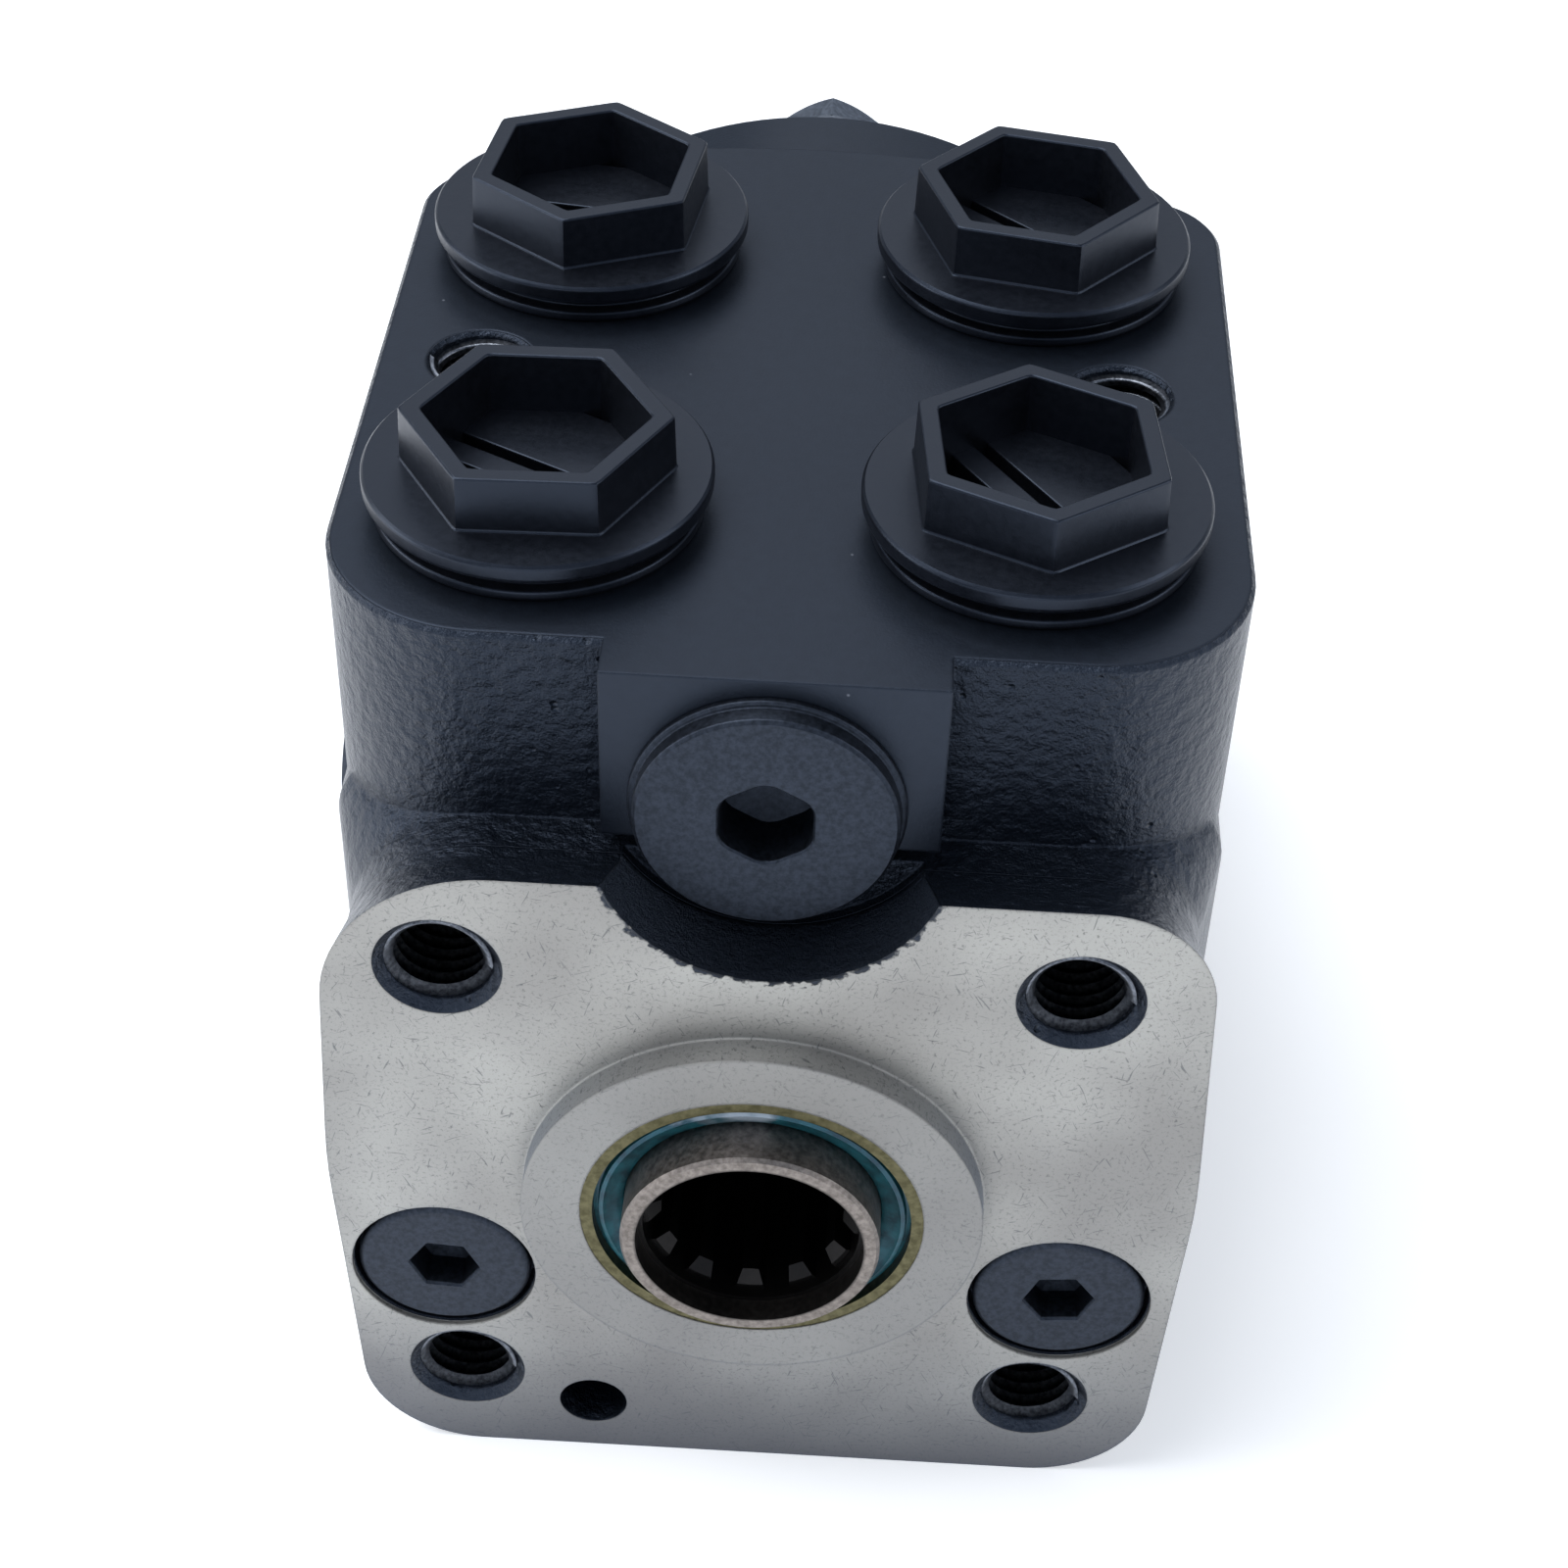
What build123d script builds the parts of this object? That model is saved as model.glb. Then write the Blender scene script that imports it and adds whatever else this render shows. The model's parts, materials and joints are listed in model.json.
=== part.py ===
"""Orbital steering unit: a rotary spool valve with a seven-lobe orbiting gear set on one axis.

Millimetres. The shaft axis is Y and the mounting face is the plane y = 0, with the column in front of it
(-Y) and the unit behind it (+Y). Z is up, towards the port face. The origin is where the shaft axis meets
the mounting face.
"""
from build123d import *
import math
import os

os.makedirs("parts", exist_ok=True)

# ---- stations along the shaft ------------------------------------------------------------------------
PILOT_HEIGHT = 3.0            # pilot boss stands this far out of the mounting face
NECK_REACH = 6.2              # spool neck reaches this far in front of the mounting face
PAD_Y = 7.5                   # machined pad of the relief valve
WALL_Y = 11.8                 # cast front wall of the port block
WAIST_Y = 9.0                 # narrowest section behind the flange
WAIST_LENGTH = 5.0
BARREL_Y = 20.0               # the casting has its full section from here on
HOUSING_LENGTH = 104.4        # mounting face to rear face
PLATE_THICKNESS = 5.0
GEAR_WIDTH = 10.4
COVER_THICKNESS = 14.0

# ---- casting ------------------------------------------------------------------------------------------
CAST_SHIFT = 0.7              # the raw casting sits this far to +X of the machined axes
BODY_HALF_WIDTH = 42.2
FLANGE_HALF_WIDTH = BODY_HALF_WIDTH - 0.1
FLANGE_TOP = 40.4
FLANGE_BOTTOM = -41.2
FLANGE_CORNERS = (16.5, 11.0, 12.0)      # radii of the corners: top left, top right, both at the bottom
FLANGE_SIDE_TAPER = 2.0       # the sides lean in by this much at the top and the bottom
WAIST_HALF_WIDTH = BODY_HALF_WIDTH - 1.8
WAIST_TOP = 37.6
WAIST_BOTTOM = -38.6
WAIST_TAPERS = (0.8, 1.4)     # at the top and the bottom
WAIST_CORNERS = (14.0, 11.0, 16.0)
BODY_BOTTOM = 1.2 - BODY_HALF_WIDTH
BODY_TAPERS = (0.0, 1.0)
BODY_CORNERS = (8.0, 8.0, 27.0)
SIDE_BREAK_Z = 2.0            # height at which the tapered sides turn
SIDE_BREAK_RADIUS = 90.0
PORT_FACE_Z = 58.6
BLOCK_BOTTOM_Z = 10.0         # the port block starts here, inside the barrel
BLOCK_CORNER_RADIUS = 15.0
BLOCK_REAR_Y = HOUSING_LENGTH - 4.0      # middle of the bowed rear wall of the port block
BLOCK_BOW = 10.4              # that wall meets the sides this far in front of its middle
BLOCK_REAR_RADIUS = 9.0
BLOCK_EDGE = 0.5
COLLAR_LENGTH = 13.4
COLLAR_CONE = 6.0
PAD_HALF_WIDTH = 15.3
PAD_HEIGHT = 18.7

# ---- mounting face --------------------------------------------------------------------------------
MOUNT_CIRCLE = 82.55          # pitch circle of the four mounting holes
MOUNT_TAP_RADIUS = 4.25       # M10
MOUNT_DEPTH = 16.0
HOLE_CHAMFER = 0.5
PILOT_RADIUS = 22.3
LOCATING_HOLE_RADIUS = 3.5
LOCATING_HOLE = (-16.2, -33.8)
LOCATING_HOLE_DEPTH = 9.0

# ---- ports ------------------------------------------------------------------------------------------
PORT_X = BODY_HALF_WIDTH - 19.4
PORT_FRONT_Y = 31.8
PORT_REAR_Y = HOUSING_LENGTH - 26.8
PORT_TAP_RADIUS = 9.3         # G1/2
PORT_DEPTH = 16.0
PORT_CHAMFER = 1.2
PORT_DRILL_RADIUS = 3.0
TOP_HOLE_X = BODY_HALF_WIDTH - 10.9      # the two M10 holes of the port face
SIDE_PORT_Y = 41.5
SIDE_PORT_Z = 17.0
SIDE_PORT_RADIUS = 5.8
SIDE_PORT_DEPTH = 12.0
SIDE_DRILL_RADIUS = 2.0

# ---- bores of the housing ---------------------------------------------------------------------------
MAIN_BORE_RADIUS = 19.0
MAIN_BORE_Y = 12.0
SEAL_BORE_RADIUS = 16.6
SEAL_BORE_DEPTH = 3.0         # behind the mounting face
SHAFT_SEAL_Y = 5.0
SHAFT_SEAL_WIDTH = 3.6
SHAFT_O_RING_SECTION = 0.94
SEAL_CASE_WALL = 1.2
SEAL_CASE_FLOOR = 0.8
SEAL_CASE_RECESS = 0.1        # the case ends this far behind the pilot's face

# ---- valve set ----------------------------------------------------------------------------------
RUNNING_GAP = 0.04
SLEEVE_WALL = 4.95
SLEEVE_RADIUS = MAIN_BORE_RADIUS - 0.03
SLEEVE_BORE_RADIUS = SLEEVE_RADIUS - SLEEVE_WALL
SPOOL_RADIUS = SLEEVE_BORE_RADIUS - RUNNING_GAP
NECK_RADIUS = SPOOL_RADIUS - 1.53
NECK_BORE_RADIUS = NECK_RADIUS + 0.75
SHAFT_SEAL_GROOVE_RADIUS = NECK_BORE_RADIUS + 2.8
SPOOL_BORE_RADIUS = NECK_RADIUS - 2.0
MOUTH_RADIUS = SPOOL_BORE_RADIUS + 0.5
MOUTH_DEPTH = 2.4             # the round entrance in front of the spline
SPLINE_COUNT = 12
SPLINE_TIP_RADIUS = SPOOL_BORE_RADIUS - 1.6
SPLINE_FRONT = 3.6            # the teeth begin this far inside the mouth
SPLINE_END_Y = 18.0
SPLINE_ROOT_SHARE = 0.30      # half of a tooth's width over the pitch, at its root and at its tip
SPLINE_TIP_SHARE = 0.17
SPOOL_END_Y = HOUSING_LENGTH - 4.4
METERING_RADIUS = 1.3         # of the grooves along the spool
RACE_THICKNESS = 2.4
NEEDLE_RADIUS = 1.25
NEEDLE_COUNT = 18
PIN_Y = 45.0
PIN_RADIUS = 4.0
SPOOL_SWING = 10.0            # degrees of spool travel either way before the pin stops it
SPRING_Y = 28.5
SPRING_WIDTH = 5.0
LEAF_THICKNESS = 0.6
LEAF_COUNT = 6
RING_WIDTH = 9.0
RING_THICKNESS = 1.3
FEED_GROOVE_DEPTH = 0.9       # ring grooves outside the sleeve
FEED_GROOVE_HALF = 1.6
FEED_HOLE_RADIUS = 1.2
COMMUTATOR_HOLE_RADIUS = 1.6

# ---- gear set --------------------------------------------------------------------------------------
GEAR_RADIUS = BODY_HALF_WIDTH + 2.8
COLLAR_RADIUS = GEAR_RADIUS - 0.6
LOBE_COUNT = 7
LOBE_CIRCLE = GEAR_RADIUS - 14.0         # radius of the circle of lobe centres
LOBE_RADIUS = 6.5
ECCENTRICITY = 2.5
ROTOR_GAP = 0.04
POCKET_GAP = 0.2
BOLT_CIRCLE = GEAR_RADIUS - 8.5
BOLT_HOLE_RADIUS = 4.2
BOLT_SHANK_RADIUS = 3.95
BOLT_TAP_RADIUS = 3.4
BOLT_THREAD_DEPTH = 16.0
BOLT_HOLE_DEPTH = 28.0
BOLT_HEAD_FLATS = 13.0
BOLT_HEAD_HEIGHT = 5.5
SPECIAL_TIP = 5.0             # the longer tip of the special bolt
WASHER_RADIUS = 7.4
WASHER_THICKNESS = 1.5
O_RING_RADIUS = GEAR_RADIUS - 2.7
O_RING_SECTION = 0.65
O_RING_GROOVE_WIDTH = 1.8
COVER_CHAMFER = 1.2
ROTOR_SPLINE_COUNT = 12
ROTOR_SPLINE_TIP = 7.7
ROTOR_SPLINE_ROOT = 9.1
ROTOR_SPACE_WIDTH = 2.3
CARDAN_TOOTH_WIDTH = 1.5
CARDAN_ROOT = 7.1
CARDAN_TIP = 8.6
CARDAN_SHANK = 6.0
CARDAN_FORK = SPOOL_BORE_RADIUS - 1.85
CARDAN_FRONT = 6.5            # the fork reaches this far in front of the pin
CARDAN_SLOT_RELIEF = 0.5      # room behind the pin for the shaft to rock
SPACER_THICKNESS = 2.4
SPACER_RADIUS = 7.3
CARDAN_HEAD_FRONT = GEAR_WIDTH / 2 - 1.6                      # ends of the spline head, from the
CARDAN_HEAD_REAR = GEAR_WIDTH / 2 - SPACER_THICKNESS - 0.45   # middle of the rotor
KIDNEY_CIRCLE = LOBE_CIRCLE - 5.0
KIDNEY_RADIUS = 2.0
COMMUTATOR_CIRCLE = SLEEVE_RADIUS - SLEEVE_WALL / 2
COMMUTATOR_RADIUS = 1.6
CHANNEL_RADIUS = 0.9          # drilling that joins a commutator hole to its pocket
CHANNEL_OVERLAP = 0.3

# ---- relief valve ----------------------------------------------------------------------------------
RELIEF_Z = PORT_FACE_Z - 14.2
RELIEF_TAP_RADIUS = 9.3
RELIEF_PLUG_RADIUS = 12.6
RELIEF_FACE_RADIUS = 11.55
RELIEF_PLUG_HEIGHT = 2.7
RELIEF_SOCKET_FLATS = 8.4
RELIEF_SOCKET_DEPTH = 5.5
RELIEF_PLUG_SHANK = 11.0
RELIEF_BORE_RADIUS = 7.0
RELIEF_BORE_END_Y = 54.0
RELIEF_SEAT_LENGTH = 8.0
RELIEF_CROSSING_Y = PIN_Y + 6.5          # drilling between the relief bore and the sleeve
POCKET_RADIUS = 15.8          # clearance for the relief valve's plug, cut in the flange's top
POCKET_RISE = 1.2             # its centre above the plug's
POCKET_DEPTH = 8.6

# ---- shock valves ----------------------------------------------------------------------------------
SHOCK_X = BODY_HALF_WIDTH - 11.4
SHOCK_COUNTERBORE_RADIUS = 9.2
SHOCK_COUNTERBORE_DEPTH = 3.2
SHOCK_PLUG_RADIUS = 8.6
SHOCK_FACE_RADIUS = 7.9
SHOCK_RECESS = 0.3
SHOCK_SOCKET_FLATS = 6.0
SMALL_SOCKET_DEPTH = 3.8
SHOCK_TAP_RADIUS = 7.6
SHOCK_PLUG_SHANK = 8.0
SHOCK_BORE_RADIUS = 5.5
SHOCK_BORE_END_Y = 44.0
SHOCK_SEAT_LENGTH = 8.0
SHOCK_SEAT_RADIUS = 2.2
SHOCK_BALL_RADIUS = 2.8

# ---- check valves ----------------------------------------------------------------------------------
CHECK_BORE_RADIUS = 4.2
CHECK_BORE_DEPTH = 12.0       # below the port's tapped hole
CHECK_BUSH_LENGTH = 4.0
CHECK_SEAT_RADIUS = 2.2
CHECK_BALL_RADIUS = 3.6
SUCTION_BALL_RADIUS = 3.3
SUCTION_STROKE = 1.5
SUCTION_SEAT_RADIUS = 2.6
SUCTION_SEAT_DEPTH = 10.0
SUCTION_PIN_RADIUS = 1.6
SUCTION_PIN_WALL = 0.6

# ---- transport caps --------------------------------------------------------------------------------
CAP_DISC_RADIUS = 16.1
CAP_LIP_RADIUS = 15.15
CAP_GROOVE_RADIUS = 14.2
CAP_LIP_HEIGHT = 1.3
CAP_GROOVE_HEIGHT = 1.3
CAP_DISC_HEIGHT = 1.85
CAP_DISC_EDGE = 0.4
CAP_HEX_FLATS = 22.0
CAP_HEX_HEIGHT = 5.45
CAP_HEX_WALL = 1.9
CAP_HEX_EDGE = 0.8
CAP_RECESS_DEPTH = 4.6
CAP_SLOT_WIDTH = 1.6
CAP_SLOT_DEPTH = 1.2
CAP_SHANK_RADIUS = 9.2
CAP_SHANK_LENGTH = 11.0
CAP_SHANK_WALL = 2.0
CAP_TURNS = {"front_left": 2.0, "front_right": -24.5, "rear_left": 23.2, "rear_right": -10.5}

# ---- side plug --------------------------------------------------------------------------------------
SIDE_PLUG_RADIUS = 8.2
SIDE_PLUG_HEIGHT = 3.0
SIDE_PLUG_SOCKET = 6.0
SIDE_PLUG_SHANK = 9.0
SIDE_SEAL_THICKNESS = 0.8

# ---- derived places ----------------------------------------------------------------------------------
FIT = 0.03                    # radial gap of a screwed or pressed piece in its hole
PORT_DRILL_X = PORT_X - PORT_TAP_RADIUS + PORT_DRILL_RADIUS + 0.3
MOUNT_OFFSET = MOUNT_CIRCLE / 2 / math.sqrt(2)
SHOCK_Z = 15.9 - MOUNT_OFFSET
WALL_X = CAST_SHIFT - BODY_HALF_WIDTH    # left wall at the side port
PLATE_Y = HOUSING_LENGTH
GEAR_Y = PLATE_Y + PLATE_THICKNESS
COVER_Y = GEAR_Y + GEAR_WIDTH
COVER_END_Y = COVER_Y + COVER_THICKNESS
OUTER_RACE_END_Y = MAIN_BORE_Y + RACE_THICKNESS
INNER_RACE_Y = OUTER_RACE_END_Y + 2 * NEEDLE_RADIUS + 0.02
SLEEVE_Y = INNER_RACE_Y + RACE_THICKNESS
SLEEVE_END_Y = HOUSING_LENGTH - RUNNING_GAP
ROTOR_MIDDLE_Y = GEAR_Y + GEAR_WIDTH / 2
CARDAN_LENGTH = ROTOR_MIDDLE_Y - PIN_Y
CARDAN_TILT = math.degrees(math.atan2(ECCENTRICITY, CARDAN_LENGTH))
BOLT_ANGLES = [90 + 360 / LOBE_COUNT * k for k in range(LOBE_COUNT)]
SPECIAL_BOLT = 2              # index of the bolt with the long tip
SUCTION_BOLTS = {"left": 3, "right": 4}
PORTS = {
    "front_left": (-PORT_X, PORT_FRONT_Y),
    "front_right": (PORT_X, PORT_FRONT_Y),
    "rear_left": (-PORT_X, PORT_REAR_Y),
    "rear_right": (PORT_X, PORT_REAR_Y),
}
TOP_HOLE_Y = (PORT_FRONT_Y + PORT_REAR_Y) / 2
FEED_GROOVES_Y = (PORT_FRONT_Y + 9.0, PIN_Y + 6.5, PORT_REAR_Y - 12.0)


# ---- construction helpers ---------------------------------------------------------------------------
def plane_y(y, x=0.0, z=0.0):
    """A sketch plane whose own x and y run along X and Z, seen from the mounting face."""
    return Plane(origin=(x, y, z), x_dir=(1, 0, 0), z_dir=(0, -1, 0))


def prism_y(sketch, y0, y1, x=0.0, z=0.0):
    return extrude(plane_y(y1, x, z) * sketch, y1 - y0)


def rod_y(radius, y0, y1, x=0.0, z=0.0):
    return prism_y(Circle(radius), y0, y1, x, z)


def rod_z(radius, z0, z1, x=0.0, y=0.0):
    return extrude(Plane(origin=(x, y, z0)) * Circle(radius), z1 - z0)


def rod_x(radius, x0, x1, y=0.0, z=0.0):
    return extrude(Plane(origin=(x0, y, z), z_dir=(1, 0, 0)) * Circle(radius), x1 - x0)


def ring_y(outer, inner, y0, y1, x=0.0, z=0.0):
    return prism_y(Circle(outer) - Circle(inner), y0, y1, x, z)


def turned(points, x=0.0, z=0.0):
    """A body turned about an axis along Y, from (radius, y) points."""
    return Pos(x, 0, z) * revolve(make_face(Polyline(*points, close=True)), Axis.Y)


def cone_y(r0, y0, r1, y1, x=0.0, z=0.0):
    return turned([(0, y0), (r0, y0), (r1, y1), (0, y1)], x, z)


def o_ring(radius, section, y):
    return revolve(Pos(radius, y) * Circle(section), Axis.Y)


def hexagon(flats, turn=0.0):
    """A hexagon by its distance across flats; turn = 0 has a corner on its own x axis."""
    return Rot(0, 0, turn) * RegularPolygon(flats / math.sqrt(3), 6)


def on_circle(radius, angle):
    """X and Z of a point at this angle from +X towards +Z."""
    return radius * math.cos(math.radians(angle)), radius * math.sin(math.radians(angle))


def save(shape, name):
    export_step(shape, f"parts/{name}.step")


# ---- housing ------------------------------------------------------------------------------------------
def cast_outline(half_width, top, bottom, tapers, corners):
    """Six-sided outline of the casting with its corners rounded: top left, top right, both at the bottom."""
    taper_top, taper_bottom = tapers
    left_top, right_top, low = corners
    outline = make_face(Polyline(
        (-half_width + taper_top, top),
        (half_width - taper_top, top),
        (half_width, SIDE_BREAK_Z),
        (half_width - taper_bottom, bottom),
        (-half_width + taper_bottom, bottom),
        (-half_width, SIDE_BREAK_Z),
        close=True,
    ))

    def corner(x_side, level):
        near = sorted(outline.vertices(), key=lambda v: abs(v.Y - level))[:2]
        return max(near, key=lambda v: v.X * x_side)

    for x_side, level, radius in (
        (-1, top, left_top), (1, top, right_top), (1, SIDE_BREAK_Z, SIDE_BREAK_RADIUS),
        (1, bottom, low), (-1, bottom, low), (-1, SIDE_BREAK_Z, SIDE_BREAK_RADIUS),
    ):
        outline = fillet(corner(x_side, level), radius)
    return Pos(CAST_SHIFT, 0) * outline


def barrel():
    """Flange, waist and barrel as one flowing skin, and the round collar that carries the gear set."""
    flange = cast_outline(
        FLANGE_HALF_WIDTH, FLANGE_TOP, FLANGE_BOTTOM, (FLANGE_SIDE_TAPER, FLANGE_SIDE_TAPER), FLANGE_CORNERS)
    waist = cast_outline(WAIST_HALF_WIDTH, WAIST_TOP, WAIST_BOTTOM, WAIST_TAPERS, WAIST_CORNERS)
    body = cast_outline(BODY_HALF_WIDTH, WAIST_TOP, BODY_BOTTOM, BODY_TAPERS, BODY_CORNERS)
    sections = [
        plane_y(0) * flange, plane_y(WAIST_Y - WAIST_LENGTH / 2) * waist,
        plane_y(WAIST_Y + WAIST_LENGTH / 2) * waist, plane_y(BARREL_Y) * body]
    neck = loft(sections, ruled=True)
    collar_y = HOUSING_LENGTH - COLLAR_LENGTH
    trunk = prism_y(body, BARREL_Y, collar_y + 2)
    collar = rod_y(COLLAR_RADIUS, collar_y, HOUSING_LENGTH)
    collar += cone_y(COLLAR_RADIUS - COLLAR_CONE * 0.6, collar_y - COLLAR_CONE, COLLAR_RADIUS, collar_y)
    return neck + trunk + collar


def port_block():
    """The block that carries the four ports, with rounded front corners and a bowed rear wall."""
    w = BODY_HALF_WIDTH
    side_end = BLOCK_REAR_Y - BLOCK_BOW
    outline = make_face(Polyline((-w, side_end), (-w, WALL_Y), (w, WALL_Y), (w, side_end))
                        + ThreePointArc((w, side_end), (0, BLOCK_REAR_Y), (-w, side_end)))
    outline = fillet(outline.vertices().sort_by(Axis.Y)[:2], BLOCK_CORNER_RADIUS)
    outline = fillet(outline.vertices().sort_by(Axis.Y)[-2:], BLOCK_REAR_RADIUS)
    return extrude(Plane(origin=(CAST_SHIFT, 0, BLOCK_BOTTOM_Z)) * outline, PORT_FACE_Z - BLOCK_BOTTOM_Z)


def relief_pad():
    """Machined pad for the relief valve, proud of the cast wall."""
    face = Pos(0, PORT_FACE_Z - PAD_HEIGHT / 2) * Rectangle(2 * PAD_HALF_WIDTH, PAD_HEIGHT)
    return prism_y(face, PAD_Y, WALL_Y + 4, CAST_SHIFT / 2)


def tapped_hole_y(radius, chamfer_width, depth, x, z):
    """A tapped hole from the mounting face, with its chamfer."""
    return turned([
        (0, -1), (radius + chamfer_width, -1), (radius + chamfer_width, 0), (radius, chamfer_width),
        (radius, depth), (0, depth)], x, z)


def tapped_hole_z(radius, chamfer_width, depth, x, y):
    """A tapped hole from the port face, with its chamfer."""
    hole = make_face(Polyline(
        (0, 1), (radius + chamfer_width, 1), (radius + chamfer_width, 0), (radius, -chamfer_width),
        (radius, -depth), (0, -depth), close=True))
    return Pos(x, y, PORT_FACE_Z) * revolve(Plane.XZ * hole, Axis.Z)


def main_bore():
    bore = rod_y(SEAL_BORE_RADIUS, -PILOT_HEIGHT - 1, SEAL_BORE_DEPTH)
    bore += rod_y(NECK_BORE_RADIUS, 0, MAIN_BORE_Y + 1)
    bore += rod_y(SHAFT_SEAL_GROOVE_RADIUS, SHAFT_SEAL_Y, SHAFT_SEAL_Y + SHAFT_SEAL_WIDTH)
    return bore + rod_y(MAIN_BORE_RADIUS, MAIN_BORE_Y, HOUSING_LENGTH + 1)


def relief_bores():
    """Tapped seat for the plug, the cartridge's bore and its crossing to the sleeve bore."""
    tool = rod_y(RELIEF_TAP_RADIUS, PAD_Y - 1, PAD_Y + RELIEF_PLUG_SHANK + 2, 0, RELIEF_Z)
    tool += rod_y(RELIEF_BORE_RADIUS, PAD_Y, RELIEF_BORE_END_Y, 0, RELIEF_Z)
    return tool + rod_z(SIDE_DRILL_RADIUS, MAIN_BORE_RADIUS - 2, RELIEF_Z, 0, RELIEF_CROSSING_Y)


def shock_bores(x):
    tool = rod_y(SHOCK_COUNTERBORE_RADIUS, -1, SHOCK_COUNTERBORE_DEPTH, x, SHOCK_Z)
    tool += rod_y(SHOCK_TAP_RADIUS, 0, SHOCK_COUNTERBORE_DEPTH + SHOCK_PLUG_SHANK + 1, x, SHOCK_Z)
    return tool + rod_y(SHOCK_BORE_RADIUS, 0, SHOCK_BORE_END_Y, x, SHOCK_Z)


def rear_holes():
    """Tapped holes for the cover bolts, two of them drilled on as suction valves."""
    floor = HOUSING_LENGTH - BOLT_HOLE_DEPTH
    tools = []
    for k, angle in enumerate(BOLT_ANGLES):
        x, z = on_circle(BOLT_CIRCLE, angle)
        tools.append(rod_y(BOLT_TAP_RADIUS, floor, HOUSING_LENGTH + 1, x, z))
        if k in SUCTION_BOLTS.values():
            tools.append(rod_y(SUCTION_SEAT_RADIUS, floor - SUCTION_SEAT_DEPTH, floor + 1, x, z))
    return tools


def build_housing():
    body = barrel() + port_block()
    rim = body.faces().sort_by(Axis.Z)[-1].outer_wire().edges()
    body = chamfer(rim, BLOCK_EDGE)
    body -= rod_y(POCKET_RADIUS, -1, POCKET_DEPTH, CAST_SHIFT, RELIEF_Z + POCKET_RISE)
    body += relief_pad()
    body += rod_y(PILOT_RADIUS, -PILOT_HEIGHT, 1)
    body -= main_bore()
    for x, z in ((-1, 1), (1, 1), (-1, -1), (1, -1)):
        body -= tapped_hole_y(MOUNT_TAP_RADIUS, HOLE_CHAMFER, MOUNT_DEPTH, x * MOUNT_OFFSET, z * MOUNT_OFFSET)
    body -= rod_y(LOCATING_HOLE_RADIUS, -1, LOCATING_HOLE_DEPTH, *LOCATING_HOLE)
    port_floor = PORT_FACE_Z - PORT_DEPTH
    for x, y in PORTS.values():
        body -= tapped_hole_z(PORT_TAP_RADIUS, PORT_CHAMFER, PORT_DEPTH, x, y)
        body -= rod_z(PORT_DRILL_RADIUS, 0, port_floor, math.copysign(PORT_DRILL_X, x), y)
    for x in (-TOP_HOLE_X, TOP_HOLE_X):
        body -= tapped_hole_z(MOUNT_TAP_RADIUS, HOLE_CHAMFER, MOUNT_DEPTH, x, TOP_HOLE_Y)
    body -= relief_bores()
    body -= shock_bores(-SHOCK_X)
    body -= shock_bores(SHOCK_X)
    body -= rod_x(SIDE_PORT_RADIUS, WALL_X - 2, WALL_X + SIDE_PORT_DEPTH, SIDE_PORT_Y, SIDE_PORT_Z)
    body -= rod_x(SIDE_DRILL_RADIUS, WALL_X, -MAIN_BORE_RADIUS / 2, SIDE_PORT_Y, SIDE_PORT_Z)
    body -= rear_holes()
    x, y = PORTS["rear_right"]
    return body - rod_z(CHECK_BORE_RADIUS, port_floor - CHECK_BORE_DEPTH, port_floor, x, y)


# ---- seals and thrust bearing ---------------------------------------------------------------------
def build_seals():
    """The dust seal in its plated case at the mouth, and the rotary seal with its O-ring behind it."""
    inner = SEAL_BORE_RADIUS - SEAL_CASE_WALL
    front = SEAL_CASE_RECESS - PILOT_HEIGHT
    foot = SEAL_BORE_DEPTH - SEAL_CASE_FLOOR
    case_bore = NECK_BORE_RADIUS + 0.8
    case = turned([
        (inner, front), (SEAL_BORE_RADIUS, front), (SEAL_BORE_RADIUS, SEAL_BORE_DEPTH),
        (case_bore, SEAL_BORE_DEPTH), (case_bore, foot), (inner, foot)])
    lip = NECK_RADIUS + RUNNING_GAP
    width = inner - lip
    dust = turned([
        (inner, front + 0.5), (inner - 0.27 * width, front + 0.3), (inner - 0.55 * width, front + 1.1),
        (lip + 0.12 * width, front + 2.6), (lip, front + 3.2), (lip + 0.1 * width, front + 4.0),
        (inner - 0.41 * width, foot), (inner, foot)])
    back = SHAFT_SEAL_Y + SHAFT_SEAL_WIDTH
    seal_top = SHAFT_SEAL_GROOVE_RADIUS - 2 * SHAFT_O_RING_SECTION
    shaft = turned([
        (lip, SHAFT_SEAL_Y + 0.6), (lip + 0.5, SHAFT_SEAL_Y + 0.05), (seal_top, SHAFT_SEAL_Y + 0.05),
        (seal_top, back - 0.05), (lip + 0.5, back - 0.05), (lip, back - 0.6)])
    save(case, "dust_seal_case")
    save(dust, "dust_seal")
    save(shaft, "shaft_seal")
    save(o_ring(seal_top + SHAFT_O_RING_SECTION, SHAFT_O_RING_SECTION, SHAFT_SEAL_Y + SHAFT_SEAL_WIDTH / 2),
         "shaft_seal_o_ring")


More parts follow.
